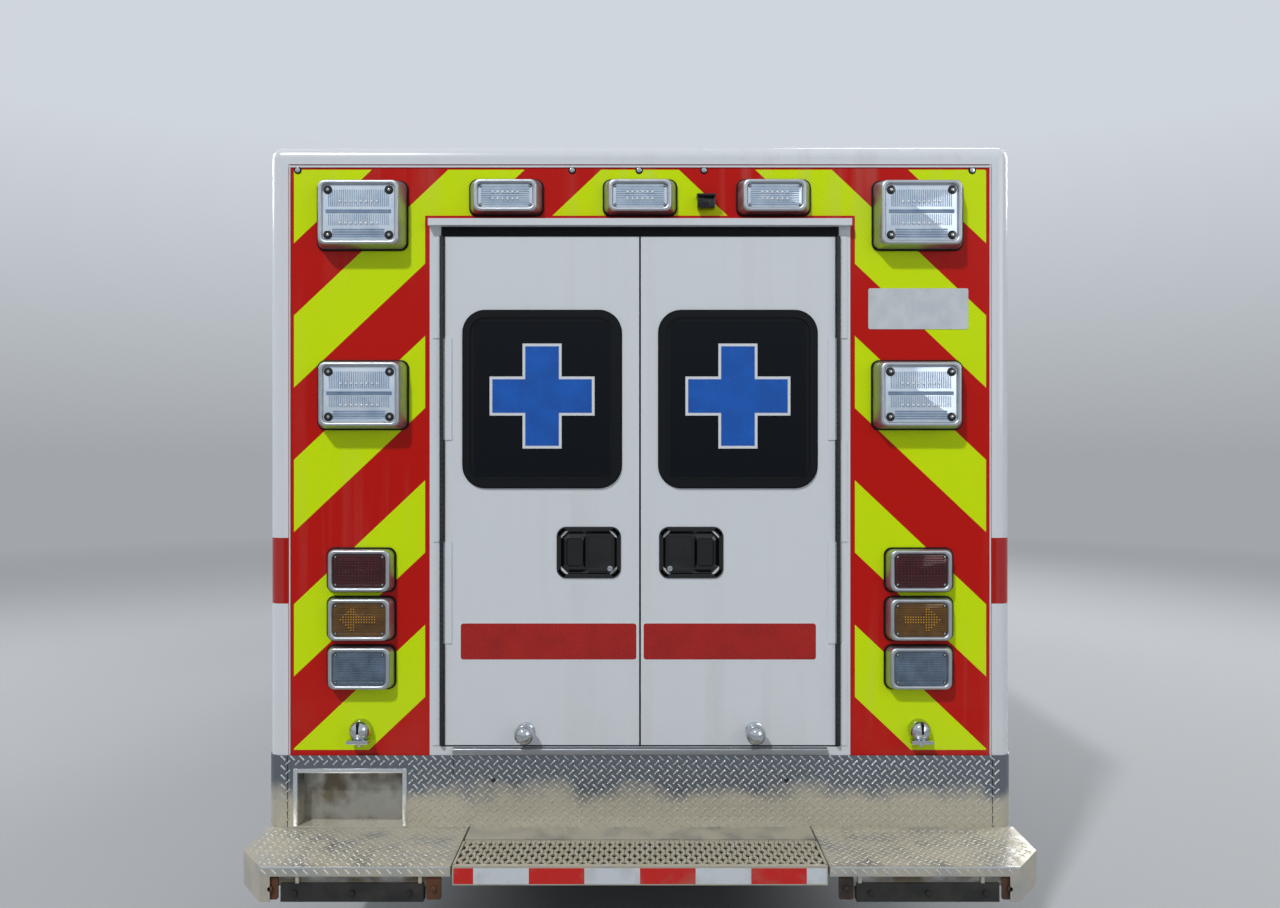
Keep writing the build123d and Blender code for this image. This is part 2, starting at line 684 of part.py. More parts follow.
def cab_form(inset):
    """The cab's outer form drawn in by an inset, open below; its rear is at the box."""
    with BuildPart() as section:
        with BuildSketch(Plane.XZ.offset(-box_front - inset)) as front_view:
            with BuildLine():
                Polyline(*cab_section, *((-x, z) for x, z in reversed(cab_section[:-1])), close=True)
            make_face()
            fillet(front_view.vertices().filter_by_position(Axis.Y, belt_z + 1, cab_roof - 1), 60)
            draw_in(inset)
        extrude(amount=-(cowl_y - box_front))
    foot_y = screen_foot_y + inset * screen_run
    with BuildPart() as greenhouse:
        with BuildSketch(Plane.XY.offset(belt_z - inset)):
            with BuildLine():
                Polyline((cab_half, foot_y - screen_bow), (cab_half, box_rear), (-cab_half, box_rear),
                         (-cab_half, foot_y - screen_bow))
                ThreePointArc((cab_half, foot_y - screen_bow), (0, foot_y), (-cab_half, foot_y - screen_bow))
            make_face()
            draw_in(inset)
        rise = cab_roof - belt_z + inset
        extrude(amount=rise * math.hypot(1, screen_run), dir=(0, -screen_run, 1))
        slab((-cab_half, box_front, far_below), (cab_half, cowl_y, belt_z - inset))
        add(section.part, mode=Mode.INTERSECT)
    with BuildPart() as nose:
        with BuildSketch(Plane.XZ.offset(-hood_start_y)) as hood_section:
            edge_z = belt_z - hood_crown
            with BuildLine():
                ThreePointArc((-cab_half, edge_z), (0, belt_z + hood_crown), (cab_half, edge_z))
                Polyline((cab_half, edge_z), (cab_half, -belt_z), (-cab_half, -belt_z), (-cab_half, edge_z))
            make_face()
            fillet(hood_section.vertices().filter_by_position(Axis.Y, edge_z - 1, edge_z + 1),
                   hood_shoulder_radius)
            draw_in(inset)
        extrude(amount=(nose_face_y - hood_start_y + 100) * math.hypot(1, hood_drop), dir=(0, 1, -hood_drop))
        with BuildSketch(Plane.XY.offset(far_below)) as plan:
            with BuildLine():
                Polyline((nose_corner_half, nose_face_y - nose_bow), (cab_half, nose_taper_y),
                         (cab_half, hood_start_y), (-cab_half, hood_start_y), (-cab_half, nose_taper_y),
                         (-nose_corner_half, nose_face_y - nose_bow))
                ThreePointArc((nose_corner_half, nose_face_y - nose_bow), (0, nose_face_y),
                              (-nose_corner_half, nose_face_y - nose_bow))
            make_face()
            fillet(plan.vertices().filter_by_position(Axis.Y, nose_face_y - nose_bow - 1, nose_face_y), 110)
            draw_in(inset)
        extrude(amount=belt_z + 200, mode=Mode.INTERSECT)
        with BuildSketch(Plane.YZ.offset(-cab_half)) as side_view:
            with BuildLine():
                Polyline((hood_start_y, far_below), (nose_face_y + 1, far_below), (nose_face_y + 1, nose_brow_z),
                         (nose_face_y - 220, belt_z + 50), (hood_start_y, belt_z + 50), close=True)
            make_face()
            fillet(side_view.vertices().filter_by_position(Axis.Y, nose_brow_z - 1, nose_brow_z + 1), 160)
            draw_in(inset)
        extrude(amount=2 * cab_half, mode=Mode.INTERSECT)
    with BuildPart() as form:
        add(greenhouse.part)
        add(nose.part)
    return form.part


with BuildPart() as cab_skin:
    add(cab_form(0))
    add(cab_form(cab_wall), mode=Mode.SUBTRACT)
    slab((-cab_half, box_rear, 0), (cab_half, nose_y, rocker_z), Mode.SUBTRACT)

with BuildPart() as glass_skin:
    add(cab_form(glass_sink))
    add(cab_form(glass_sink + glass_thick), mode=Mode.SUBTRACT)
    slab((-cab_half, box_rear, 0), (cab_half, nose_y, belt_z), Mode.SUBTRACT)


def side_prism(points, x0, x1, corner=0, grow=0):
    """A side-view outline of (y, z) points carried from x0 to x1, rounded and grown."""
    with BuildPart() as prism:
        with BuildSketch(Plane.YZ.offset(x0)) as outline:
            with BuildLine():
                Polyline(*points, close=True)
            make_face()
            if corner:
                fillet(outline.vertices(), corner)
            if grow:
                offset(amount=grow, kind=Kind.INTERSECTION)
        extrude(amount=x1 - x0)
    return prism.part


def front_prism(points, y0, y1, corner=0, grow=0):
    """A front-view outline of (x, z) points carried from y0 to y1, rounded and grown."""
    with BuildPart() as prism:
        with BuildSketch(Plane.XZ.offset(-y0)) as outline:
            with BuildLine():
                Polyline(*points, close=True)
            make_face()
            if corner:
                fillet(outline.vertices(), corner)
            if grow:
                offset(amount=grow, kind=Kind.INTERSECTION)
        extrude(amount=y0 - y1)
    return prism.part


# Windscreen, lamps and grille as (x, z) outlines; door, fender and hood as (y, z) outlines
screen_outline = [(-880, belt_z + 60), (880, belt_z + 60), (770, cab_roof - 150), (-770, cab_roof - 150)]
headlamp_outline = [(headlamp_inner, headlamp_low), (headlamp_outer, headlamp_low),
                    (headlamp_outer, grille_high), (headlamp_inner, grille_high)]
grille_outline = [(-grille_half, grille_low), (grille_half, grille_low),
                  (grille_half, grille_high), (-grille_half, grille_high)]
pillar_z = belt_z + 60
door_outline = [(door_rear_y, door_bottom), (door_front_y, door_bottom), (door_front_y, pillar_z),
                (door_front_y - (door_top - pillar_z) * screen_run, door_top), (door_rear_y, door_top)]
window_low = belt_z + 50
window_high = door_top - 80
window_front_y = door_front_y - 95
door_window = [(door_rear_y + 90, window_low), (window_front_y, window_low),
               (window_front_y - (window_high - window_low) * screen_run, window_high),
               (door_rear_y + 90, window_high)]


def fender_outline(gap):
    """The front wing's outline, kept a gap away from the cab and the nose panel."""
    return [(door_front_y, rocker_z), (door_front_y, fender_top - gap), (cowl_y + gap, fender_top - gap),
            (cowl_y + gap, cab_roof), (nose_y, cab_roof), (nose_y, nose_seam_z + gap),
            (nose_seam_y - gap, nose_seam_z + gap), (nose_seam_y - gap, rocker_z)]


sill_top = door_bottom - cab_gap
with BuildPart() as cab_shell:
    add(cab_skin.part)
    for side in (-1, 1):
        add(side_prism(door_outline, side * 500, side * cab_half, grow=cab_gap), mode=Mode.SUBTRACT)
        add(side_prism(fender_outline(0), side * hood_half, side * cab_half), mode=Mode.SUBTRACT)
    slab((-hood_half, cowl_y, 0), (hood_half, nose_y, roof_z), Mode.SUBTRACT)
    slab((-cab_half, nose_seam_y, 0), (cab_half, nose_y, nose_seam_z), Mode.SUBTRACT)
    add(front_prism(screen_outline, box_front + 600, nose_y, 70), mode=Mode.SUBTRACT)
    slab((-pass_half, box_front, pass_bottom), (pass_half, box_front + cab_wall, pass_top), Mode.SUBTRACT)
    slab((-sill_inner, box_front, rocker_z), (sill_inner, box_front + cab_wall, cab_floor_z - cab_floor_thick),
         Mode.SUBTRACT)
    # Floor, firewall and sills
    slab((-sill_inner - 50, box_front, cab_floor_z - cab_floor_thick),
         (sill_inner + 50, firewall_y + firewall_thick, cab_floor_z))
    slab((-sill_inner - 30, firewall_y, cab_floor_z), (sill_inner + 30, firewall_y + firewall_thick, belt_z - 120))
    for side in (-1, 1):
        side_slab(side, (sill_inner, sill_inner + 50), (box_front, door_front_y), (rocker_z, cab_floor_z))
        side_slab(side, (sill_inner, cab_half - 10), (box_front, door_front_y), (rocker_z, sill_top))
        with BuildSketch(Plane.YZ.offset(side * (rail_x + rail_width))):
            with Locations((front_axle_y, tyre_radius)):
                Circle(front_arch_radius + arch_liner + panel_seam)
        extrude(amount=side * cab_half, mode=Mode.SUBTRACT)
        # Spacer that the front wing is bolted to
        tab_x = belt_half - cab_wall + 10
        side_slab(side, (tab_x, tab_x + seam_tab), (firewall_y - 2 * seam_tab, firewall_y),
                  (fender_top - panel_seam, fender_top + panel_seam))
save(cab_shell.part, "cab_shell")

with BuildPart() as windscreen:
    add(glass_skin.part)
    add(front_prism(screen_outline, box_front + 600, nose_y, 70, -window_gap), mode=Mode.INTERSECT)
save(windscreen.part, "windscreen")


def make_fender(side):
    """One front wing with its wheel arch and the liner above the wheel."""
    with BuildPart() as fender:
        add(cab_skin.part)
        add(side_prism(fender_outline(panel_seam), side * (hood_half + cab_gap), side * cab_half),
            mode=Mode.INTERSECT)
        slab((-cab_half, box_rear, 0), (cab_half, door_front_y + cab_gap, roof_z), Mode.SUBTRACT)
        with BuildSketch(Plane.YZ.offset(side * (hood_half - 120))):
            with Locations((front_axle_y, tyre_radius)):
                Circle(front_arch_radius + arch_liner)
        extrude(amount=side * (cab_half - hood_half + 100))
        with BuildSketch(Plane.YZ.offset(side * (hood_half - 120))):
            with Locations((front_axle_y, tyre_radius)):
                Circle(front_arch_radius)
        extrude(amount=side * (cab_half - hood_half + 120), mode=Mode.SUBTRACT)
        slab((-cab_half, box_rear, -tyre_radius), (cab_half, nose_y, rocker_z), Mode.SUBTRACT)
        for low in cab_hinge_z:
            pin_y = door_front_y + cab_gap / 2
            side_slab(side, (cab_half - cab_pin_radius, cab_half + cab_pin_radius), (pin_y, door_front_y + cab_gap),
                      (low, low + cab_hinge_height))
            with BuildSketch(Plane.XY.offset(low)):
                with Locations((side * cab_half, pin_y)):
                    Circle(cab_pin_radius)
            extrude(amount=cab_hinge_height)
    return fender.part


with BuildPart() as front_fenders:
    for side in (-1, 1):
        add(make_fender(side))
save(front_fenders.part, "front_fenders")

with BuildPart() as hood:
    add(cab_skin.part)
    slab((-hood_half, cowl_y + cab_gap, nose_seam_z + cab_gap), (hood_half, nose_y, roof_z), Mode.INTERSECT)
save(hood.part, "hood")

with BuildPart() as nose_panel:
    add(cab_skin.part)
    slab((-cab_half, nose_seam_y, rocker_z), (cab_half, nose_y, nose_seam_z), Mode.INTERSECT)
    slab((-sill_inner, nose_seam_y, rocker_z), (sill_inner, nose_y, front_bumper_high - 80), Mode.SUBTRACT)
    add(front_prism(grille_outline, nose_seam_y, nose_y, 40, window_gap), mode=Mode.SUBTRACT)
    for side in (-1, 1):
        add(front_prism([(side * x, z) for x, z in headlamp_outline], nose_seam_y, nose_y, 40, window_gap),
            mode=Mode.SUBTRACT)
        # Spacer between the panel and the front wing
        tab_x = nose_corner_half - seam_tab
        side_slab(side, (tab_x, tab_x + seam_tab / 2), (nose_seam_y - panel_seam, nose_seam_y + panel_seam),
                  (headlamp_low, headlamp_low + 2 * seam_tab))
save(nose_panel.part, "nose_panel")

with BuildPart() as headlamps:
    for side in (-1, 1):
        add(front_prism([(side * x, z) for x, z in headlamp_outline], nose_seam_y, nose_y, 40))
    add(cab_skin.part, mode=Mode.INTERSECT)
save(headlamps.part, "headlamps")

bar_pitch = (grille_high - grille_low - grille_bar) / grille_bars
with BuildPart() as grille:
    add(cab_skin.part)
    add(front_prism(grille_outline, nose_seam_y, nose_y, 40), mode=Mode.INTERSECT)
    for row in range(grille_bars):
        low = grille_low + grille_bar + row * bar_pitch
        for side in (-1, 1):
            side_slab(side, (grille_bar / 2, grille_half - grille_bar), (nose_seam_y, nose_y),
                      (low, low + bar_pitch - grille_bar), Mode.SUBTRACT)
save(grille.part, "grille")

with BuildPart() as front_bumper:
    for inset, mode in ((0, Mode.ADD), (front_bumper_wall, Mode.SUBTRACT)):
        back = nose_y - front_bumper_reach
        side_x = front_bumper_half - inset
        with BuildSketch(Plane.XY.offset(front_bumper_low)) as plan:
            with BuildLine():
                Polyline((side_x, nose_y - 100 - inset), (side_x, back), (-side_x, back),
                         (-side_x, nose_y - 100 - inset))
                ThreePointArc((side_x, nose_y - 100 - inset), (0, nose_y - inset),
                              (-side_x, nose_y - 100 - inset))
            make_face()
            fillet(plan.vertices().group_by(Axis.Y)[-1], 90 - inset)
        extrude(amount=front_bumper_high - front_bumper_low, mode=mode)
    for side in (-1, 1):
        side_slab(side, (rail_x - 25, rail_x + rail_width / 2), (rail_front, nose_y - front_bumper_wall),
                  (front_bumper_low + 10, front_bumper_low + 70))
save(front_bumper.part, "front_bumper")

# Cab doors with their windows and mirrors
for side, word in ((-1, "left"), (1, "right")):
    with BuildPart() as cab_door:
        add(cab_skin.part)
        add(side_prism(door_outline, side * 500, side * cab_half), mode=Mode.INTERSECT)
        add(side_prism(door_window, side * 500, side * cab_half, 50), mode=Mode.SUBTRACT)
    save(cab_door.part, "cab_door_" + word)
    with BuildPart() as cab_window:
        add(glass_skin.part)
        add(side_prism(door_window, side * 500, side * cab_half, 50, -window_gap), mode=Mode.INTERSECT)
    save(cab_window.part, "cab_window_" + word)
    with BuildPart() as cab_mirror:
        with BuildSketch(Plane.XY.offset(mirror_low)):
            with Locations((side * mirror_x, mirror_y)):
                RectangleRounded(mirror_size[0], mirror_size[1], 30)
        extrude(amount=mirror_size[2])
        for z in mirror_arms:
            with BuildSketch(Plane.YZ.offset(side * (cab_half - cab_wall / 2))):
                with Locations((mirror_y, z)):
                    RegularPolygon(mirror_tube, 8, major_radius=False)
            extrude(amount=side * (mirror_x - cab_half + cab_wall / 2))
        with BuildSketch(Plane.XY.offset(mirror_arms[0] - mirror_tube)):
            with Locations((side * mirror_x, mirror_y)):
                RegularPolygon(mirror_tube + 3, 8, major_radius=False)
        extrude(amount=mirror_low - mirror_arms[0] + mirror_tube)
        flank = [(0, shoulder_z), (side * cab_half, shoulder_z), (side * belt_half, belt_z), (0, belt_z)]
        add(front_prism(flank, mirror_y - cab_wall, mirror_y + cab_wall), mode=Mode.SUBTRACT)
    save(cab_mirror.part, "cab_mirror_" + word)

# Chassis frame: two channel rails that step down under the cab, with cross members
box_rail_low = floor_base - rail_height
cab_rail_low = cab_rail_top - cab_rail_height
step_down = (box_front - 360, box_front - 60)


def rail_outline(shrink):
    """A rail seen from the side, its height drawn in by the web's flanges."""
    top = [(rail_rear, floor_base), (step_down[0], floor_base), (step_down[1], cab_rail_top),
           (rail_front, cab_rail_top)]
    low = [(rail_front, cab_rail_low), (step_down[1], cab_rail_low), (step_down[0], box_rail_low),
           (rail_rear, box_rail_low)]
    return [(y, z - shrink) for y, z in top] + [(y, z + shrink) for y, z in low]


rail_inner = rail_x - rail_width / 2
rail_outer = rail_x + rail_width / 2
tank_y = (box_rear + 330, box_rear + 1080)
# Pads for a jack, under the rails' dropped stretch
jack_pad = 80
jack_pad_y = 1600
jack_pad_thick = 20
axle_member_ahead = 700
# Cross members as (y, low z, high z)
cross_members = [(box_rear + 180, floor_base - 90, floor_base), (sum(tank_y) / 2, floor_base - 24, floor_base),
                 (rear_axle_y + axle_member_ahead, floor_base - 100, floor_base), (0, floor_base - 100, floor_base),
                 (step_down[0] - 60, floor_base - 100, floor_base), (nose_face_y - 160, cab_rail_low, 510)]
with BuildPart() as frame_rails:
    for side in (-1, 1):
        add(side_prism(rail_outline(0), side * rail_inner, side * rail_outer))
        add(side_prism(rail_outline(rail_web), side * rail_inner, side * (rail_outer - rail_web)),
            mode=Mode.SUBTRACT)
        with BuildSketch(Plane.XY.offset(cab_rail_top)):
            with Locations((side * rail_x, box_front + 250), (side * rail_x, firewall_y - 60)):
                RegularPolygon(32, 8, major_radius=False)
        extrude(amount=cab_floor_z - cab_floor_thick - cab_rail_top)
        side_slab(side, (rail_x - jack_pad / 2, rail_x + jack_pad / 2), (jack_pad_y - jack_pad / 2,
                  jack_pad_y + jack_pad / 2), (cab_rail_low - jack_pad_thick, cab_rail_low))
    for y, low, high in cross_members:
        slab((-rail_outer + rail_web / 2, y - 35, low), (rail_outer - rail_web / 2, y + 35, high))
save(frame_rails.part, "frame_rails")


def leaf_spring(side, x, axle_y, low, half_span, rise):
    """A bowed leaf pack, 75 wide and 40 thick, over an axle."""
    thick = 40
    xs = sorted((side * (x - 37.5), side * (x + 37.5)))
    with BuildPart() as spring:
        with BuildSketch(Plane.YZ.offset(xs[0])):
            with BuildLine():
                ThreePointArc((axle_y - half_span, low + rise), (axle_y, low), (axle_y + half_span, low + rise))
                Line((axle_y + half_span, low + rise), (axle_y + half_span, low + rise + thick))
                ThreePointArc((axle_y + half_span, low + rise + thick), (axle_y, low + thick),
                              (axle_y - half_span, low + rise + thick))
                Line((axle_y - half_span, low + rise + thick), (axle_y - half_span, low + rise))
            make_face()
        extrude(amount=75)
    return spring.part


# Rear axle: tube, differential, spindles, springs and their hangers on the rails
rear_spring_x = rail_outer + 62
rear_spring_low = tyre_radius + axle_tube
rear_span = 620
rear_rise = 66
hub_reach = dual_x + rear_hub_reach
with BuildPart() as rear_axle:
    tube_half = dual_x - dual_spacing / 2 - tyre_width / 2 + 60
    with BuildSketch(Plane.YZ.offset(-tube_half)):
        with Locations((rear_axle_y, tyre_radius)):
            Circle(axle_tube)
    extrude(amount=2 * tube_half)
    with BuildSketch(Plane.YZ.offset(-hub_reach)):
        with Locations((rear_axle_y, tyre_radius)):
            Circle(spindle_radius)
    extrude(amount=2 * hub_reach)
    # Differential housing and pinion nose, turned about the propeller shaft's line
    with BuildSketch(Plane(origin=(0, rear_axle_y, tyre_radius), x_dir=(1, 0, 0), z_dir=(0, 0, 1))):
        with BuildLine():
            Polyline((0, -150), (70, -150), (150, -75), (150, 50), (62, 120), (62, pinion_reach), (0, pinion_reach),
                     close=True)
        make_face()
    revolve(axis=Axis((0, rear_axle_y, tyre_radius), (0, 1, 0)))
    for side in (-1, 1):
        side_slab(side, (rear_spring_x - 37.5, rear_spring_x + 37.5), (rear_axle_y - 60, rear_axle_y + 60),
                  (tyre_radius, rear_spring_low + 10))
        add(leaf_spring(side, rear_spring_x, rear_axle_y, rear_spring_low, rear_span, rear_rise))
        for end in (-1, 1):
            y = rear_axle_y + end * rear_span
            side_slab(side, (rail_outer, rear_spring_x + 37.5), (y - 30, y + 30),
                      (rear_spring_low + rear_rise, box_rail_low + 60))
save(rear_axle.part, "rear_axle")

# Front axle: dropped beam with king pin bosses, under its own springs
boss_half = 45
front_span = 540
front_spring_low = 350
front_rise = cab_rail_low - front_spring_low - 40
beam_points = [(kingpin_x, tyre_radius + boss_half - 6), (rail_outer + 120, tyre_radius + boss_half - 12),
               (rail_outer + 30, front_spring_low), (0, front_spring_low), (0, front_spring_low - 70),
               (rail_outer + 60, front_spring_low - 70), (rail_outer + 150, tyre_radius - boss_half + 6),
               (kingpin_x, tyre_radius - boss_half + 6)]
with BuildPart() as front_axle:
    for side in (-1, 1):
        add(front_prism([(side * x, z) for x, z in beam_points], front_axle_y - 36, front_axle_y + 36))
        with BuildSketch(Plane.XY.offset(tyre_radius - boss_half)):
            with Locations((side * kingpin_x, front_axle_y)):
                Circle(40)
        extrude(amount=2 * boss_half)
        with BuildSketch(Plane.XY.offset(tyre_radius - boss_half)):
            with Locations((side * kingpin_x, front_axle_y)):
                Circle(kingpin_radius + shaft_clearance)
        extrude(amount=2 * boss_half, mode=Mode.SUBTRACT)
        add(leaf_spring(side, rail_x, front_axle_y, front_spring_low, front_span, front_rise))
save(front_axle.part, "front_axle")

# Steering knuckles: a fork round the beam's boss, the king pin, the spindle and the brake drum
plate_x = (kingpin_x + 48, kingpin_x + 66)
for side, word in ((-1, "left"), (1, "right")):
    with BuildPart() as knuckle:
        for low in (tyre_radius - boss_half - 0.5 - fork_thick, tyre_radius + boss_half + 0.5):
            with BuildSketch(Plane.XY.offset(low)):
                with Locations((side * kingpin_x, front_axle_y)):
                    RegularPolygon(42, 8, major_radius=False)
            extrude(amount=fork_thick)
            side_slab(side, (kingpin_x, plate_x[1]), (front_axle_y - 42, front_axle_y + 42), (low, low + fork_thick))
        side_slab(side, plate_x, (front_axle_y - 42, front_axle_y + 42),
                  (tyre_radius - boss_half - fork_thick, tyre_radius + boss_half + fork_thick))
        with BuildSketch(Plane.XY.offset(tyre_radius - boss_half - fork_thick)):
            with Locations((side * kingpin_x, front_axle_y)):
                Circle(kingpin_radius)
        extrude(amount=2 * (boss_half + fork_thick))
        with BuildSketch(Plane.YZ.offset(side * plate_x[1])):
            with Locations((front_axle_y, tyre_radius)):
                Circle(drum_radius)
        extrude(amount=side * drum_width)
        with BuildSketch(Plane.YZ.offset(side * plate_x[1])):
            with Locations((front_axle_y, tyre_radius)):
                Circle(spindle_radius)
        extrude(amount=side * (front_wheel_x + dual_spacing / 2 - plate_x[1]))
    save(knuckle.part, "knuckle_" + word)


def make_tyre(x, axle_y):
    """One tyre, flat-walled, with its beads on the rim's barrel."""
    bead = rim_radius + shaft_clearance
    with BuildPart() as tyre:
        with BuildSketch(Plane(origin=(x, axle_y, tyre_radius), x_dir=(1, 0, 0), z_dir=(0, -1, 0))):
            with Locations((0, (bead + tyre_radius) / 2)):
                Rectangle(tyre_width, tyre_radius - bead)
        revolve(axis=Axis((x, axle_y, tyre_radius), (1, 0, 0)))
    return tyre.part


def make_rim(facing, x, axle_y, hub_from, hub_to):
    """One rim dished towards its facing side: barrel, disc with hand holes, bored hub."""
    dish = dual_spacing / 2
    well = rim_radius - rim_wall
    with BuildPart() as rim:
        with BuildSketch(Plane(origin=(x, axle_y, tyre_radius), x_dir=(facing, 0, 0), z_dir=(0, -facing, 0))):
            with BuildLine():
                Polyline((-rim_half, rim_radius), (rim_half, rim_radius), (rim_half, well),
                         (dish, well - dish_slope), (dish, 0), (dish - disc_thick, 0),
                         (dish - disc_thick, well - dish_slope - rim_wall / 2), (rim_half - rim_wall, well),
                         (-rim_half, well), close=True)
            make_face()
            with Locations(((hub_from + hub_to) / 2, hub_radius / 2)):
                Rectangle(hub_to - hub_from, hub_radius)
            with Locations((0, (spindle_radius + shaft_clearance) / 2)):
                Rectangle(4 * dish, spindle_radius + shaft_clearance, mode=Mode.SUBTRACT)
        revolve(axis=Axis((x, axle_y, tyre_radius), (1, 0, 0)))
        with Locations(Plane(origin=(x + facing * dish, axle_y, tyre_radius), z_dir=(facing, 0, 0))):
            with PolarLocations(hand_hole_circle, hand_holes):
                add(octagon_bar(Plane.XY.offset(-2 * disc_thick), hand_hole_radius, 3 * disc_thick),
                    mode=Mode.SUBTRACT)
    return rim.part


for side, word in ((-1, "left"), (1, "right")):
    save(make_tyre(side * front_wheel_x, front_axle_y), "front_tyre_" + word)
    dish = dual_spacing / 2
    save(make_rim(side, side * front_wheel_x, front_axle_y, dish - 20, dish + front_hub_reach),
         "front_rim_" + word)
    with BuildPart() as twin_tyres:
        for turn in (-1, 1):
            add(make_tyre(side * (dual_x + turn * dish), rear_axle_y))
    save(twin_tyres.part, "rear_tyres_" + word)
    with BuildPart() as twin_rims:
        add(make_rim(side, side * (dual_x - dish), rear_axle_y, dish - 40, dish))
        add(make_rim(-side, side * (dual_x + dish), rear_axle_y, dish - rear_hub_reach, dish))
    save(twin_rims.part, "rear_rims_" + word)

# Engine block with its mounts, and the radiator behind the grille
engine_y = (cowl_y + 60, cowl_y + 560)
radiator_half = 380
radiator_y = (nose_face_y - 180, nose_face_y - 140)
radiator_z = (510, 1000)
hood_rest_x = 260


def hood_underside(x, y):
    """Height of the hood's inner face, whose section is a flat arc that falls towards the nose."""
    radius = (cab_half ** 2 + (2 * hood_crown) ** 2) / (4 * hood_crown)
    top = belt_z + hood_crown
    sag = radius - cab_wall - math.sqrt((radius - cab_wall) ** 2 - x ** 2)
    return top - cab_wall - sag - hood_drop * (y - hood_start_y)


with BuildPart() as engine_block:
    slab((-280, engine_y[0], 400), (280, engine_y[1], 1010))
    for side in (-1, 1):
        side_slab(side, (270, rail_x), (engine_y[0] + 180, engine_y[0] + 280), (cab_rail_top, cab_rail_top + 40))
    slab((-radiator_half, radiator_y[0], radiator_z[0]), (radiator_half, radiator_y[1], radiator_z[1]))
    # Two rests under the hood's front end
    for side in (-1, 1):
        side_slab(side, (hood_rest_x - 10, hood_rest_x), (radiator_y[0], radiator_y[0] + 20),
                  (radiator_z[1], hood_underside(hood_rest_x, radiator_y[0] + 20) - pin_clearance))
save(engine_block.part, "engine_block")

# Gearbox and propeller shaft
gearbox_rear = engine_y[0] - 760
shaft_rear = rear_axle_y + pinion_reach
with BuildPart() as driveline:
    with BuildSketch(Plane.XZ.offset(-engine_y[0])):
        with Locations((0, gearbox_z)):
            Circle(122)
    with BuildSketch(Plane.XZ.offset(-gearbox_rear)):
        with Locations((0, gearbox_z)):
            Circle(78)
    loft(ruled=True)
    shaft_rise = gearbox_z - tyre_radius
    shaft_run = gearbox_rear - shaft_rear
    shaft_line = Plane(origin=(0, shaft_rear + 4, tyre_radius + 2), x_dir=(1, 0, 0), z_dir=(0, shaft_run, shaft_rise))
    with BuildSketch(shaft_line):
        Circle(44)
    extrude(amount=math.hypot(shaft_run, shaft_rise))
save(driveline.part, "driveline")

# Fuel tank between the rails, behind the axle
with BuildPart() as fuel_tank:
    with BuildSketch(Plane.YZ.offset(-340)):
        with Locations((sum(tank_y) / 2, (340 + floor_base - 24) / 2)):
            RectangleRounded(tank_y[1] - tank_y[0], floor_base - 24 - 340, 60)
    extrude(amount=680)
save(fuel_tank.part, "fuel_tank")

# Exhaust: pipe over the axle with its silencer, leaving on the right behind the wheels
pipe_x = 220
exhaust_route = [(pipe_x, engine_y[0] + 14, 400), (pipe_x, engine_y[0] + 14, 325), (pipe_x, engine_y[0] - 300, 325),
                 (pipe_x, 700, 400), (pipe_x, rear_axle_y + 560, 400), (pipe_x, rear_axle_y + 230, 505),
                 (pipe_x, rear_axle_y - 230, 505), (pipe_x, rear_axle_y - 560, 400),
                 (pipe_x + 180, rear_axle_y - 860, 385), (box_half - 10, rear_axle_y - 900, 385)]
exhaust_bends = [50, 300, 300, 300, 120, 120, 110, 110]
with BuildPart() as exhaust_pipe:
    with BuildLine() as route:
        FilletPolyline(*exhaust_route, radius=exhaust_bends)
    with BuildSketch(Plane(origin=exhaust_route[0], z_dir=(0, 0, -1))):
        RegularPolygon(34, 8, major_radius=False)
    sweep(path=route.line)
    with BuildSketch(Plane.XZ.offset(-500)):
        with Locations((pipe_x, 400)):
            RectangleRounded(150, 150, 60)
    extrude(amount=620)
save(exhaust_pipe.part, "exhaust_pipe")

# Running boards under the cab doors
with BuildPart() as running_boards:
    for side in (-1, 1):
        side_slab(side, (sill_inner, cab_half + 32), (door_rear_y - 60, front_axle_y - front_arch_radius - 50),
                  (rocker_z - 28, rocker_z))
save(running_boards.part, "running_boards")

# Dashboard with steering column and wheel
dash_y = firewall_y - 400
wheel_centre = (-430, dash_y - 150, 1130)
dash_outline = [(firewall_y, 900), (firewall_y, 1215), (dash_y + 120, 1200), (dash_y, 1110), (dash_y + 20, 980),
                (dash_y + 160, 900)]
with BuildPart() as dashboard:
    add(side_prism(dash_outline, -890, 890))
    wheel_plane = Plane(origin=wheel_centre, x_dir=(1, 0, 0), z_dir=(0, -math.cos(math.radians(28)),
                                                                     math.sin(math.radians(28))))
    with Locations(wheel_plane):
        Box(360, 46, 18)
        with Locations((0, -90, 0)):
            Box(46, 180, 18)
    with BuildSketch(wheel_plane):
        RegularPolygon(30, 8, major_radius=False)
    extrude(amount=-260)
    # The wheel's rim, turned from a hexagon
    with BuildSketch(Plane(origin=wheel_centre, x_dir=(1, 0, 0), z_dir=wheel_plane.y_dir)):
        with Locations((185, 0)):
            RegularPolygon(14, 6)
    revolve(axis=Axis(wheel_centre, wheel_plane.z_dir))
save(dashboard.part, "dashboard")

# Cab seats, each a pedestal, cushion and back in one outline from its front edge
seat_setback = 700
seat_y = firewall_y - seat_setback
seat_outline = [(-90, cab_floor_z), (-70, 880), (10, 900), (0, 1010), (-420, 985), (-510, 1560), (-540, 1700),
                (-640, 1700), (-640, 1540), (-560, 900), (-480, 870), (-480, cab_floor_z)]
with BuildPart() as cab_seats:
    for x in (-480, 480):
        add(side_prism([(seat_y + y, z) for y, z in seat_outline], x - 250, x + 250))
save(cab_seats.part, "cab_seats")

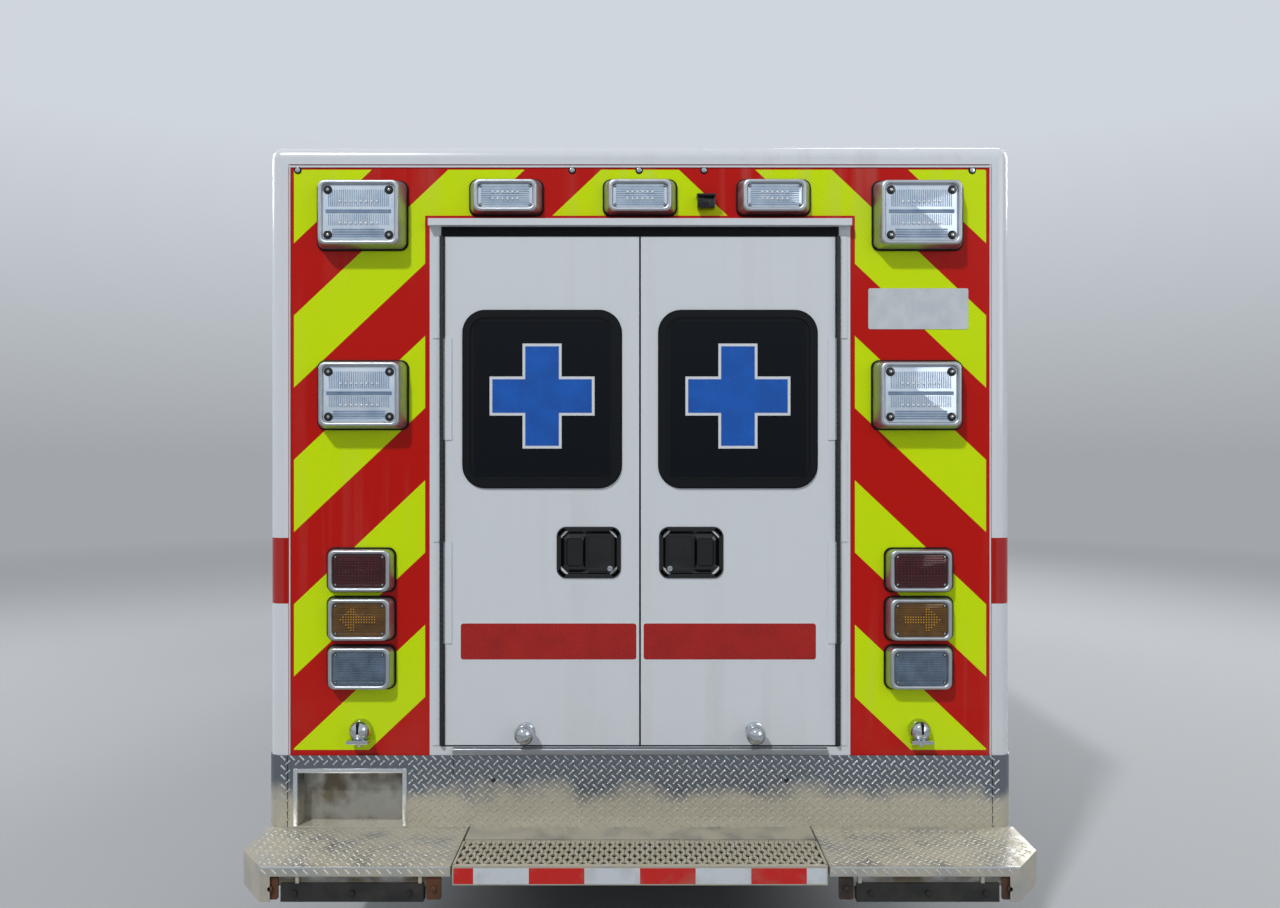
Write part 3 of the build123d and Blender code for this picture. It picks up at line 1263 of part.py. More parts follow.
# Patient cabin furniture: cabinets on the left, squad bench on the right
with BuildPart() as cabin_furniture:
    cabinet_ys = (box_rear + 1380, box_rear + 2560)
    slab((-inner_half, cabinet_ys[0], wheelhouse_top), (-inner_half + 420, cabinet_ys[1], 1300))
    slab((-inner_half, cabinet_ys[0], 1900), (-inner_half + 360, cabinet_ys[1], 2600))
    slab((600, box_rear + 1400, wheelhouse_top), (inner_half, box_rear + 2800, 1230))
    slab((600, box_rear + 1400, floor_z), (wheelhouse_inner, box_rear + 2800, wheelhouse_top))
save(cabin_furniture.part, "cabin_furniture")
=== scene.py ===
"""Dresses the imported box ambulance: enamel, films, glass, lamps, tread plate, tyres, trim and inside."""
import math

import bmesh
import bpy
from mathutils import Matrix, Vector


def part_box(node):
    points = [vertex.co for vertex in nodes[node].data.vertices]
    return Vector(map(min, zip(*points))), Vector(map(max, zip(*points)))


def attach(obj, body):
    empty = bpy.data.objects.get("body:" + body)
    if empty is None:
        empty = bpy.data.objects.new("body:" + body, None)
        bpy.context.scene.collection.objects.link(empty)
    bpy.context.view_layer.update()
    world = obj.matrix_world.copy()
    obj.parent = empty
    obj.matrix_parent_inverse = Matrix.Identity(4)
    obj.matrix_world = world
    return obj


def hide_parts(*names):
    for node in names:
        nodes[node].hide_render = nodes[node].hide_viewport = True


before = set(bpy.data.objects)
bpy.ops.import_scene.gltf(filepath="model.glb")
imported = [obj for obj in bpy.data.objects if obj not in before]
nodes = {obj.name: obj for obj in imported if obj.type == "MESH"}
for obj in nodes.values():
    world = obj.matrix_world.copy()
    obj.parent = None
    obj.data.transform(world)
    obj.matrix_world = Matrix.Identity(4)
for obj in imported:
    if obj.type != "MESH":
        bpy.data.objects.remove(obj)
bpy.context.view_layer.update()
bpy.ops.object.select_all(action="DESELECT")

# Places that the paint and the films share, in metres
rear_wall_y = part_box("box_roof")[0].y
panel_y = rear_wall_y + 0.004
panel_half = 1.153
panel_low = 0.762
panel_top = 2.700
frame_half = 0.690
frame_top = 2.517
band_low = 1.259
band_top = 1.475
side_wall_x = 1.219
front_wall_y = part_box("box_roof")[1].y
window_z = 1.930
hands = (("left", -1), ("right", 1))

# Colours that several finishes share
enamel_white = "#D3D8DE"
band_red = "#A8130C"
dark_tint = "#050A12"
horizon_tone = "#A2A6AB"

# Modelling steps


def activate(piece):
    """Makes a piece the only one selected, and the active one."""
    bpy.ops.object.select_all(action="DESELECT")
    piece.select_set(True)
    bpy.context.view_layer.objects.active = piece


def pick(kind, test):
    """In edit mode, selects only the faces or edges that pass a test."""
    bpy.ops.mesh.select_mode(type={"faces": "FACE", "edges": "EDGE"}[kind])
    bpy.ops.mesh.select_all(action="DESELECT")
    mesh = bpy.context.object.data
    shape = bmesh.from_edit_mesh(mesh)
    for part in getattr(shape, kind):
        part.select_set(bool(test(part)))
    shape.select_flush_mode()
    bmesh.update_edit_mesh(mesh)


def along(axis):
    """A test for edges that run along an axis."""
    return lambda edge: abs((edge.verts[0].co - edge.verts[1].co).normalized()[axis]) > 0.99


def modify(piece, kind, **settings):
    """Adds a modifier with its settings and applies it."""
    activate(piece)
    modifier = piece.modifiers.new(kind, kind)
    for name, value in settings.items():
        setattr(modifier, name, value)
    bpy.ops.object.modifier_apply(modifier=modifier.name)
    return piece


def soften(piece, width, steps=2):
    """Rounds the sharp edges of a piece."""
    return modify(piece, "BEVEL", width=width, segments=steps, limit_method="ANGLE",
                  angle_limit=math.radians(40))


def block(low, high, axis=2, corner=0, steps=6, edge=0):
    """A cube between two corners, with the edges along one axis rounded, and then the rest."""
    spans = [sorted(pair) for pair in zip(low, high)]
    bpy.ops.mesh.primitive_cube_add(size=1, location=[(a + b) / 2 for a, b in spans],
                                    scale=[b - a for a, b in spans])
    piece = bpy.context.object
    bpy.ops.object.transform_apply(location=True, rotation=True, scale=True)
    if corner:
        bpy.ops.object.mode_set(mode="EDIT")
        pick("edges", along(axis))
        bpy.ops.mesh.bevel(offset=corner, segments=steps, affect="EDGES")
        bpy.ops.object.mode_set(mode="OBJECT")
    if edge:
        soften(piece, edge)
    return piece


def hollowed(piece, band, drop):
    """Pushes the middle of a piece's top in, and leaves a frame of a given width round it."""
    activate(piece)
    bpy.ops.object.mode_set(mode="EDIT")
    pick("faces", lambda face: face.normal.z > 0.9)
    bpy.ops.mesh.inset(thickness=band)
    bpy.ops.mesh.inset(thickness=0.0004, depth=-drop)
    bpy.ops.object.mode_set(mode="OBJECT")
    return piece


def disc(radius, low, high, sides=24, edge=0, at=(0, 0), tip=None):
    """A round piece standing on Z between two heights."""
    bpy.ops.mesh.primitive_cone_add(vertices=sides, radius1=radius, radius2=radius if tip is None else tip,
                                    depth=high - low, location=(*at, (low + high) / 2))
    piece = bpy.context.object
    bpy.ops.object.transform_apply(location=True, rotation=True, scale=True)
    if edge:
        soften(piece, edge)
    return piece


def turned(profile, axis, steps=48):
    """A profile of points, each a distance along an axis and a radius, spun round it."""
    across = 2 if axis != 2 else 0
    bpy.ops.mesh.primitive_plane_add(size=1)
    piece = bpy.context.object
    bpy.ops.object.mode_set(mode="EDIT")
    bpy.ops.mesh.delete(type="VERT")
    shape = bmesh.from_edit_mesh(piece.data)
    made = []
    for place, radius in profile:
        point = [0, 0, 0]
        point[axis] = place
        point[across] = radius
        made.append(shape.verts.new(point))
    for first, second in zip(made, made[1:]):
        shape.edges.new((first, second))
    bmesh.update_edit_mesh(piece.data)
    bpy.ops.mesh.select_all(action="SELECT")
    direction = [0, 0, 0]
    direction[axis] = 1
    bpy.ops.mesh.spin(steps=steps, angle=math.tau, center=(0, 0, 0), axis=direction)
    bpy.ops.mesh.select_all(action="SELECT")
    bpy.ops.mesh.remove_doubles(threshold=0.00001)
    bpy.ops.mesh.normals_make_consistent(inside=False)
    bpy.ops.object.mode_set(mode="OBJECT")
    return piece


def join(parts):
    """Joins pieces into the first one."""
    bpy.ops.object.select_all(action="DESELECT")
    for part in parts:
        part.select_set(True)
    bpy.context.view_layer.objects.active = parts[0]
    bpy.ops.object.join()
    return parts[0]


def repeat(piece, places):
    """Copies of a piece, each with its own mesh, at a list of matrices, joined as one."""
    made = []
    for place in places:
        copy = piece.copy()
        copy.data = piece.data.copy()
        copy.data.transform(place)
        bpy.context.collection.objects.link(copy)
        made.append(copy)
    bpy.data.objects.remove(piece)
    return join(made)


def shift(*offset):
    """A matrix that only moves."""
    return Matrix.Translation(offset)


def corners_of(size, inset):
    """The four corners of a rectangle about the origin, drawn in by an inset."""
    return [shift(x * (size[0] / 2 - inset), y * (size[1] / 2 - inset), 0) for x in (-1, 1) for y in (-1, 1)]


def facing(origin, out):
    """The frame of a face: X to the right and Y up as one looks at it, Z out of it."""
    up = Vector((0, 0, 1))
    out = Vector(out)
    return shift(*origin) @ Matrix((up.cross(out), up, out)).transposed().to_4x4()


def on_rear(x, z, y=panel_y):
    """A face at the tail of the vehicle, on the recessed panel unless told otherwise."""
    return facing((x, y, z), (0, -1, 0))


def on_side(side, y, z):
    """A face on one side of the box."""
    return facing((side * side_wall_x, y, z), (side, 0, 0))


def on_front(x, z, y=front_wall_y):
    """A face that looks forward, on the box's front wall unless told otherwise."""
    return facing((x, y, z), (0, 1, 0))


def dress(piece, name, body, finish, smooth=35):
    """Names a finished piece, gives it its material and its material slot, and lets it ride on a body."""
    activate(piece)
    bpy.ops.object.transform_apply(location=True, rotation=True, scale=True)
    bpy.ops.object.shade_smooth_by_angle(angle=math.radians(smooth))
    piece.name = name
    piece.data.name = name
    piece.data.materials.clear()
    piece.data.materials.append(finish)
    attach(piece, body)
    return piece


# Finishes


def linear(colour):
    """An sRGB hex colour as the linear colour that a socket takes."""
    parts = [int(colour[i:i + 2], 16) / 255 for i in (1, 3, 5)]
    return [*(part / 12.92 if part <= 0.04045 else ((part + 0.055) / 1.055) ** 2.4 for part in parts), 1]


def step(tree, kind, inputs=(), **settings):
    """Adds a shader node with its settings, and its inputs as values or as links from other nodes."""
    made = tree.nodes.new("ShaderNode" + kind)
    for name, value in settings.items():
        setattr(made, name, value)
    for socket, value in dict(inputs).items():
        if isinstance(value, bpy.types.NodeSocket):
            tree.links.new(value, made.inputs[socket])
        else:
            made.inputs[socket].default_value = value
    return made


def start(name, colour, roughness, metallic=0.0, **sockets):
    """A material with its tree, its shader and the object coordinates that its patterns read."""
    made = bpy.data.materials.new(name)
    made.use_nodes = True
    tree = made.node_tree
    shader = tree.nodes["Principled BSDF"]
    values = {"Base Color": linear(colour), "Roughness": roughness, "Metallic": metallic}
    values.update({key.replace("_", " "): value for key, value in sockets.items()})
    for socket, value in values.items():
        shader.inputs[socket].default_value = value
    where = step(tree, "TexCoord").outputs["Object"]
    return made, tree, shader, where


def patches(tree, where, grain, stretch=(1, 1, 1), detail=3.0):
    """A noise whose grain is given in millimetres, as a factor."""
    spread = step(tree, "Mapping", {"Vector": where, "Scale": stretch}).outputs[0]
    return step(tree, "TexNoise", {"Vector": spread, "Scale": 1000 / grain, "Detail": detail}).outputs["Fac"]


def ranged(tree, factor, low, high, start_at=0.0, end_at=1.0):
    """A factor moved to another range."""
    inputs = {"Value": factor, "From Min": low, "From Max": high, "To Min": start_at, "To Max": end_at}
    return step(tree, "MapRange", inputs).outputs["Result"]


def blended(tree, factor, first, second):
    """Two colours, given as hex or as sockets, blended by a factor."""
    colours = [linear(colour) if isinstance(colour, str) else colour for colour in (first, second)]
    return step(tree, "Mix", {0: factor, 6: colours[0], 7: colours[1]}, data_type="RGBA").outputs[2]


def counted(tree, operation, *values):
    """A sum on sockets and numbers."""
    return step(tree, "Math", dict(enumerate(values)), operation=operation).outputs[0]


def between(tree, value, low, high):
    """One where a value lies between two numbers, and nought elsewhere."""
    above = counted(tree, "GREATER_THAN", value, low)
    below = counted(tree, "LESS_THAN", value, high)
    return counted(tree, "MULTIPLY", above, below)


def roughen(tree, shader, factor, smooth, rough, bump=0.0, height=0.001):
    """Lets a factor vary the shader's roughness, and its surface where a bump is given."""
    tree.links.new(ranged(tree, factor, 0.3, 0.7, smooth, rough), shader.inputs["Roughness"])
    if bump:
        inputs = {"Strength": bump, "Distance": height, "Height": factor}
        tree.links.new(step(tree, "Bump", inputs).outputs[0], shader.inputs["Normal"])


def enamel(name, marks=None, coat=0.5, gloss=0.5):
    """Gloss white two-pack enamel on sheet aluminium: hard highlights, with faint rain streaks and dust."""
    made, tree, shader, where = start(name, enamel_white, 0.2, Coat_Weight=coat, Coat_Roughness=0.06,
                                      Specular_IOR_Level=gloss)
    streaks = patches(tree, where, 60, (1, 1, 0.04))
    dust = patches(tree, where, 900)
    wear = counted(tree, "MULTIPLY", ranged(tree, streaks, 0.5, 0.75),
                   ranged(tree, dust, 0.4, 0.7, 0.0, 0.22))
    split = step(tree, "SeparateXYZ", {"Vector": where})
    low_down = ranged(tree, split.outputs["Z"], 1.1, 0.4, 0.0, 0.13)
    paint = linear(enamel_white)
    if marks:
        paint = marks(tree, where, split.outputs)
    worn = blended(tree, wear, paint, "#A9A79C")
    road = counted(tree, "MULTIPLY", low_down, ranged(tree, patches(tree, where, 160), 0.35, 0.65))
    tree.links.new(blended(tree, road, worn, "#8E8877"), shader.inputs["Base Color"])
    roughen(tree, shader, dust, 0.14, 0.3)
    return made


def side_band(tree, where, axes):
    """A red band of film along the box's sides that wraps its corners."""
    outer = counted(tree, "GREATER_THAN", counted(tree, "ABSOLUTE", axes["X"]), panel_half)
    band = counted(tree, "MULTIPLY", outer, between(tree, axes["Z"], band_low, band_top))
    return blended(tree, band, enamel_white, band_red)


def film_colours(tree, where, height, half):
    """Red and fluorescent yellow-green stripes, with the diagonal ribs of prismatic film in them."""
    # The stripes rise towards the middle, 237 mm apart up the wall
    rise = 0.9445
    pitch = 0.2372
    first = 3.042
    slant = counted(tree, "MULTIPLY_ADD", half, rise, height)
    turn = counted(tree, "DIVIDE", counted(tree, "SUBTRACT", slant, first), 2 * pitch)
    yellow = counted(tree, "LESS_THAN", counted(tree, "FRACT", turn), 0.5)
    # Ribs 11 mm apart, drawn a little coarser than the real ones so that they show
    rib = counted(tree, "SINE", counted(tree, "MULTIPLY", slant, math.tau / 0.011))
    weave = patches(tree, where, 25)
    shade = ranged(tree, counted(tree, "MULTIPLY", rib, weave), -0.5, 0.5)
    red = blended(tree, shade, "#B00C05", "#C21409")
    green = blended(tree, shade, "#C2DF00", "#D2EE00")
    return yellow, red, green


def chevrons(tree, where, axes):
    """The films on the recessed rear panels, with a red line round each panel."""
    half = counted(tree, "ABSOLUTE", axes["X"])
    height = axes["Z"]
    line = 0.016
    yellow, red, green = film_colours(tree, where, height, half)
    beside = between(tree, half, frame_half + line, panel_half - line)
    beside = counted(tree, "MULTIPLY", beside, between(tree, height, panel_low + line, panel_top - line))
    above = counted(tree, "LESS_THAN", half, panel_half - line)
    above = counted(tree, "MULTIPLY", above, between(tree, height, frame_top + line, panel_top - line))
    inner = counted(tree, "MAXIMUM", beside, above)
    film = blended(tree, counted(tree, "MULTIPLY", inner, yellow), red, green)
    in_frame = counted(tree, "MULTIPLY", counted(tree, "LESS_THAN", half, frame_half),
                       counted(tree, "LESS_THAN", height, frame_top))
    rear = counted(tree, "LESS_THAN", axes["Y"], panel_y + 0.0005)
    on_panel = counted(tree, "MULTIPLY", rear, counted(tree, "LESS_THAN", half, panel_half + 0.0005))
    on_panel = counted(tree, "MULTIPLY", on_panel,
                       between(tree, height, panel_low - 0.001, panel_top + 0.0005))
    on_panel = counted(tree, "MULTIPLY", on_panel, counted(tree, "SUBTRACT", 1.0, in_frame))
    banded = side_band(tree, where, axes)
    return blended(tree, on_panel, banded, film)


def metal(name, colour, smooth, rough, grain=12, stretch=(1, 1, 1), dirt="#6F6A5E", dirt_share=0.0, bump=0.0):
    """A bare metal whose roughness varies over its grain, with dirt in patches."""
    made, tree, shader, where = start(name, colour, smooth, 1.0)
    factor = patches(tree, where, grain, stretch)
    if dirt_share:
        soil = ranged(tree, patches(tree, where, 90), 0.62 - dirt_share, 0.72 - dirt_share / 2)
        tree.links.new(blended(tree, soil, colour, dirt), shader.inputs["Base Color"])
        tree.links.new(ranged(tree, soil, 0, 1, 1.0, 0.25), shader.inputs["Metallic"])
    roughen(tree, shader, factor, smooth, rough, bump, 0.0004)
    return made


def plastic(name, colour, smooth, rough, grain=1.5, bump=0.1, tint=None, patch=200, **sockets):
    """A moulded plastic, rubber or paint whose grain shows in its gloss and surface."""
    made, tree, shader, where = start(name, colour, smooth, **sockets)
    if tint:
        factor = ranged(tree, patches(tree, where, patch), 0.35, 0.7)
        tree.links.new(blended(tree, factor, colour, tint), shader.inputs["Base Color"])
    roughen(tree, shader, patches(tree, where, grain), smooth, rough, bump, 0.0003)
    return made


white_enamel = enamel("white_enamel")
side_enamel = enamel("side_enamel_with_red_band", side_band)
rear_enamel = enamel("rear_wall_enamel_with_films", chevrons, 0, 0.2)
# Chrome plate on die-cast zinc: a mirror with a few water spots
chrome = metal("chrome_plate", "#C2C7CC", 0.05, 0.14, 30)
bezel_chrome = metal("weathered_lamp_chrome", "#B4B9BE", 0.36, 0.52, 30)
# Bright rolled aluminium tread plate, dull where feet and road salt have worn it
tread_plate = metal("aluminium_tread_plate", "#8E9297", 0.24, 0.42, 20, dirt_share=0.03, bump=0.05)
worn_plate = metal("worn_aluminium", "#BDBCB7", 0.32, 0.55, 30, (1, 0.2, 1), dirt="#B4AFA0", dirt_share=0.3,
                   bump=0.05)
# Polished aluminium for bars and trims; it also paints the highlight strips along the bumper wings' front
# edges
polished_bar_and_highlight = metal("polished_tread_bars_and_edge_highlight", "#E6E8EA", 0.15, 0.3, 8)
dirty_plate = metal("dirty_backing_plate", "#A9AAA6", 0.35, 0.6, 25, dirt="#6A6151", dirt_share=0.22,
                    bump=0.08)
# Mill-finish sheet with the drag marks of its rolling
floor_sheet = metal("satin_aluminium_sheet", "#A3A6AA", 0.3, 0.5, 6, (0.1, 1, 1), bump=0.05)
wheel_metal = metal("polished_wheel_steel", "#B9BBBE", 0.18, 0.4, 15, dirt="#5B554B", dirt_share=0.08)
exhaust_metal = metal("aluminised_exhaust_steel", "#8D8780", 0.4, 0.65, 20, dirt="#5E5046", dirt_share=0.2,
                      bump=0.2)
cast_iron = metal("raw_cast_iron", "#57585B", 0.5, 0.75, 4, dirt="#3A342D", dirt_share=0.15, bump=0.5)
# Satin chassis paint under road dust
chassis_paint = plastic("chassis_paint", "#141415", 0.4, 0.65, 6, 0.25, "#3B3731", 140)
black_plastic = plastic("grained_black_plastic", "#0C0C0D", 0.35, 0.55, 1.2, 0.25)
# Gloss black plastic; the same finish also paints the shade in the hinges' knuckle gaps
black_gloss_and_shade = plastic("black_gloss_plastic_and_shade", "#08080A", 0.08, 0.2, 20, 0.0, Coat_Weight=0.3)
buffer_rubber = plastic("buffer_rubber", "#141414", 0.55, 0.75, 3, 0.3, "#2B2926", 60)
# Black seal rubber; the same finish also paints shade as dark strips, lines and slots in the doorway, along
# the panel edges, under the step tread and in the grabber slots
seal_rubber_and_shade = plastic("seal_rubber_and_shade", "#08090A", 0.45, 0.6, 4, 0.1, Specular_IOR_Level=0.15)
tyre_rubber = plastic("tyre_rubber", "#161616", 0.6, 0.8, 2, 0.3, "#2E2B27", 90)
dash_plastic = plastic("dash_plastic", "#4A4D51", 0.5, 0.65, 1.5, 0.3)
laminate = plastic("cabinet_laminate", "#D2D4D2", 0.3, 0.42, 8, 0.03, "#C6C8C6", 300)


def glass(name, colour, alpha, gloss=0.5):
    """Tinted safety glass: smooth, with a trace of dust in its gloss."""
    made, tree, shader, where = start(name, colour, 0.03, IOR=1.52, Coat_Weight=0.6 * gloss,
                                      Coat_Roughness=0.03, Specular_IOR_Level=gloss)
    tree.links.new(ranged(tree, patches(tree, where, 150), 0.4, 0.7, 0.02, 0.09), shader.inputs["Roughness"])
    if alpha < 1:
        shader.inputs["Alpha"].default_value = alpha
    return made


clear_glass = glass("clear_safety_glass", "#22302E", 0.42)
dark_glass = glass("dark_privacy_glass", dark_tint, 1, 0.2)


def framed_glass(name, node):
    """A dark pane in a black anodised ring, told apart by the distance from the node's edge."""
    low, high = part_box(node)
    middle = (low + high) / 2
    half = (high - low) / 2
    across = 0 if half.x > half.y else 1
    made, tree, shader, where = start(name, dark_tint, 0.04, IOR=1.52, Specular_IOR_Level=0.2)
    axes = step(tree, "SeparateXYZ", {"Vector": where}).outputs
    ring = 0.034
    off = []
    for axis, label in ((across, "XY"[across]), (2, "Z")):
        away = counted(tree, "ABSOLUTE", counted(tree, "SUBTRACT", axes[label], middle[axis]))
        off.append(counted(tree, "GREATER_THAN", away, half[axis] - ring))
    edge = counted(tree, "MAXIMUM", *off)
    tree.links.new(blended(tree, edge, dark_tint, "#0C1013"), shader.inputs["Base Color"])
    tree.links.new(ranged(tree, edge, 0, 1, 0.03, 0.32), shader.inputs["Roughness"])
    return made


def lens(name, colour, deep):
    """Moulded acrylic over a bright reflector: a wet gloss, darker in soft patches."""
    made, tree, shader, where = start(name, colour, 0.1, 0.35, IOR=1.49, Coat_Weight=0.5, Coat_Roughness=0.03)
    factor = ranged(tree, patches(tree, where, 45), 0.15, 0.85)
    tree.links.new(blended(tree, factor, colour, deep), shader.inputs["Base Color"])
    return made


clear_lens = lens("clear_acrylic_lens", "#E2EBF4", "#BED0E4")
smoky_lens = lens("reversing_lamp_lens", "#7388A0", "#3E4C58")
blue_lens = lens("pale_blue_lens", "#A9BDD3", "#6F88A8")
red_lens = lens("red_acrylic_lens", "#4E0814", "#2A040B")
amber_lens = lens("amber_acrylic_lens", "#7A5216", "#46300B")
red_dot = plastic("red_emitter", "#7C2238", 0.1, 0.2, 5, 0.0, Coat_Weight=0.5)
amber_dot = plastic("amber_emitter", "#D9A02A", 0.1, 0.2, 5, 0.0, Coat_Weight=0.5)
led_dot = plastic("led_emitter", "#F4F6F8", 0.1, 0.2, 5, 0.0, Coat_Weight=0.5)
lamp_bowl = metal("lamp_bowl_reflector", "#6F747A", 0.12, 0.25, 20)
lamp_glass = glass("headlamp_glass", "#C9D3DA", 0.45)
mirror_glass = metal("mirror_glass", "#C4CED6", 0.02, 0.03, 60)
vinyl = plastic("seat_vinyl", "#5B5F66", 0.4, 0.55, 1.8, 0.35, "#4F5359", 250)

# The CAD nodes that keep their meshes, by finish
cad_finishes = [
    (white_enamel, ("box_roof", "cab_shell", "front_fenders", "nose_panel", "hood", "rear_door_left",
                    "rear_door_right", "cab_door_left", "cab_door_right")),
    (side_enamel, ("box_sides", "side_door", "locker_door_front_left", "locker_door_middle_left",
                   "locker_door_rear_left", "locker_door_rear_right")),
    (rear_enamel, ("box_ends",)),
    (floor_sheet, ("box_floor", "locker_boxes")),
    (clear_glass, ("windscreen", "cab_window_left", "cab_window_right")),
    (dark_glass, ("box_windows",)),
    (framed_glass("left_rear_window", "rear_window_left"), ("rear_window_left",)),
    (framed_glass("right_rear_window", "rear_window_right"), ("rear_window_right",)),
    (framed_glass("crew_door_window", "side_door_window"), ("side_door_window",)),
    (chrome, ("door_hooks", "front_bumper")),
    (lamp_bowl, ("headlamps",)),
    (black_gloss_and_shade, ("grille",)),
    (black_plastic, ("cab_mirror_left", "cab_mirror_right")),
    (tread_plate, ("rear_kick_plate", "running_boards")),
    (worn_plate, ("rear_bumper", "rear_step")),
    (buffer_rubber, ("bumper_rubbers",)),
    (wheel_metal, ("front_rim_left", "front_rim_right", "rear_rims_left", "rear_rims_right")),
    (chassis_paint, ("frame_rails", "rear_axle", "front_axle", "fuel_tank", "knuckle_left",
                     "knuckle_right")),
    (cast_iron, ("engine_block", "driveline")),
    (exhaust_metal, ("exhaust_pipe",)),
    (dash_plastic, ("dashboard",)),
    (laminate, ("cabin_furniture",)),
    (vinyl, ("cab_seats",))]


def finish_nodes(finish, names):
    """Gives CAD nodes their material."""
    for name in names:
        nodes[name].data.materials.clear()
        nodes[name].data.materials.append(finish)


for finish, names in cad_finishes:
    finish_nodes(finish, names)

# Lamps on the box: base size, lens size and depth of each kind, and their places on the rear, sides and front
lamp_sizes = {"scene": ((0.290, 0.220), (0.236, 0.184), 0.060),
              "warning": ((0.235, 0.112), (0.180, 0.080), 0.045),
              "tail": ((0.218, 0.137), (0.175, 0.112), 0.040)}
lens_sink = 0.008
rear_lamps = [("scene", 0.910, 2.531), ("scene", -0.910, 2.531), ("scene", 0.908, 1.943),
              ("scene", -0.908, 1.943), ("warning", 0, 2.590), ("warning", 0.438, 2.590),
              ("warning", -0.438, 2.590)]
tail_lamps = {"red": (red_lens, 1.370), "amber": (amber_lens, 1.211), "clear": (smoky_lens, 1.052)}
tail_lamp_x = 0.914
side_lamps = [("warning", -2.995), ("scene", -1.105), ("warning", 0.785)]
side_lamp_z = 2.560
front_lamps_x = (0, 0.480, -0.480, 0.960, -0.960)
front_lamp_z = 2.580


def lamp_places(kind):
    """The frames of all lamps of a kind."""
    places = [on_rear(x, z) for made, x, z in rear_lamps if made == kind]
    for side in (-1, 1):
        places += [on_side(side, y, side_lamp_z) for made, y in side_lamps if made == kind]
    if kind == "warning":
        places += [on_front(x, front_lamp_z) for x in front_lamps_x]
    if kind == "tail":
        places += [on_rear(side * tail_lamp_x, z) for finish, z in tail_lamps.values() for side in (-1, 1)]
    return places


def grow(height, wide, tall):
    """In edit mode, extrudes the chosen face along Z and scales it about the middle."""
    bpy.ops.mesh.extrude_region_move(TRANSFORM_OT_translate={"value": (0, 0, height)})
    bpy.ops.transform.resize(value=(wide, tall, 1), center_override=(0, 0, 0))


def make_bezel(base, lens_size, depth):
    """A cast bezel: straight foot, flared flank, rounded rim and the well that the lens sits in."""
    rim = 0.011
    corner = 0.022
    foot = 0.010
    piece = block((-base[0] / 2, -base[1] / 2, 0), (base[0] / 2, base[1] / 2, foot), 2, corner, 8)
    crown = (lens_size[0] + 2 * rim, lens_size[1] + 2 * rim)
    bpy.ops.object.mode_set(mode="EDIT")
    pick("faces", lambda face: face.normal.z > 0.9)
    grow(depth - foot, crown[0] / base[0], crown[1] / base[1])
    grow(0, lens_size[0] / crown[0], lens_size[1] / crown[1])
    grow(-0.012, 0.98, 0.98)
    bpy.ops.object.mode_set(mode="OBJECT")
    return soften(piece, 0.005, 3)


def make_lens(lens_size, depth):
    """A lens block with rounded corners and a soft face."""
    return block((-lens_size[0] / 2 + 0.001, -lens_size[1] / 2 + 0.001, depth * 0.3),
                 (lens_size[0] / 2 - 0.001, lens_size[1] / 2 - 0.001, depth - lens_sink), 2, 0.011, 6, 0.003)


def ribs(width, spots, thick, face, raise_by, upright=False):
    """Half-round ribs across a lens face at a list of distances from its middle."""
    made = []
    for spot in spots:
        near = spot - thick / 2
        far = spot + thick / 2
        if upright:
            made.append(block((near, -width / 2, face - 0.002), (far, width / 2, face + raise_by)))
        else:
            made.append(block((-width / 2, near, face - 0.002), (width / 2, far, face + raise_by)))
    return soften(join(made), thick * 0.3, 1)


def dots(columns, rows, pitch, face, radius=0.003, at=(0, 0)):
    """A grid of small domes on a lens face."""
    bpy.ops.mesh.primitive_uv_sphere_add(segments=10, ring_count=6, radius=radius)
    dome = bpy.context.object
    places = []
    for column in range(columns):
        for row in range(rows):
            places.append(shift(at[0] + (column - (columns - 1) / 2) * pitch[0],
                                at[1] + (row - (rows - 1) / 2) * pitch[1], face))
    return repeat(dome, places)


def scene_lamp_details(lens_size, face):
    """Flutes above and below a plain band, two rows of emitters and four screw cups."""
    wide, tall = lens_size
    pitch = 0.006
    flutes = [x * pitch for x in range(-int(wide * 0.42 / pitch), int(wide * 0.42 / pitch) + 1)]
    upper = repeat(ribs(tall * 0.30, flutes, 0.003, face, 0.001, True), [shift(0, tall * 0.25, 0)])
    lower = repeat(ribs(tall * 0.20, flutes, 0.003, face, 0.0007, True), [shift(0, -tall * 0.13, 0)])
    bars = ribs(wide * 0.90, [tall * (0.005 + 0.032 * step_up) for step_up in (0, 1)], 0.006, face, 0.003)
    foot = ribs(wide * 0.72, [-tall * (0.30 + 0.042 * step_down) for step_down in range(4)], 0.005, face,
                0.002)
    lights = join([dots(8, 1, (wide * 0.072, 0), face + 0.001, 0.0034, (0, tall * 0.19)),
                   dots(8, 1, (wide * 0.072, 0), face + 0.001, 0.0034, (0, -tall * 0.19))])
    corners = corners_of(lens_size, 0.019)
    cup = repeat(disc(0.0145, face - 0.002, face + 0.0015, 20, 0.0006), corners)
    screw = repeat(disc(0.005, face, face + 0.0035, 12, 0.001), corners)
    return join([upper, lower, bars, foot]), lights, cup, screw


def warning_lamp_details(lens_size, face):
    """Fine level ribs across the lens, with a block of emitters behind them and corner screws."""
    wide, tall = lens_size
    level = ribs(wide * 0.88, [tall * 0.075 * row for row in range(-5, 6)], 0.003, face, 0.0012)
    lights = dots(6, 2, (wide * 0.09, tall * 0.26), face + 0.001, 0.0038)
    corners = corners_of(lens_size, 0.009)
    cup = repeat(disc(0.005, face - 0.002, face + 0.001, 12), corners)
    screw = repeat(disc(0.0025, face, face + 0.002, 8), corners)
    return level, lights, cup, screw


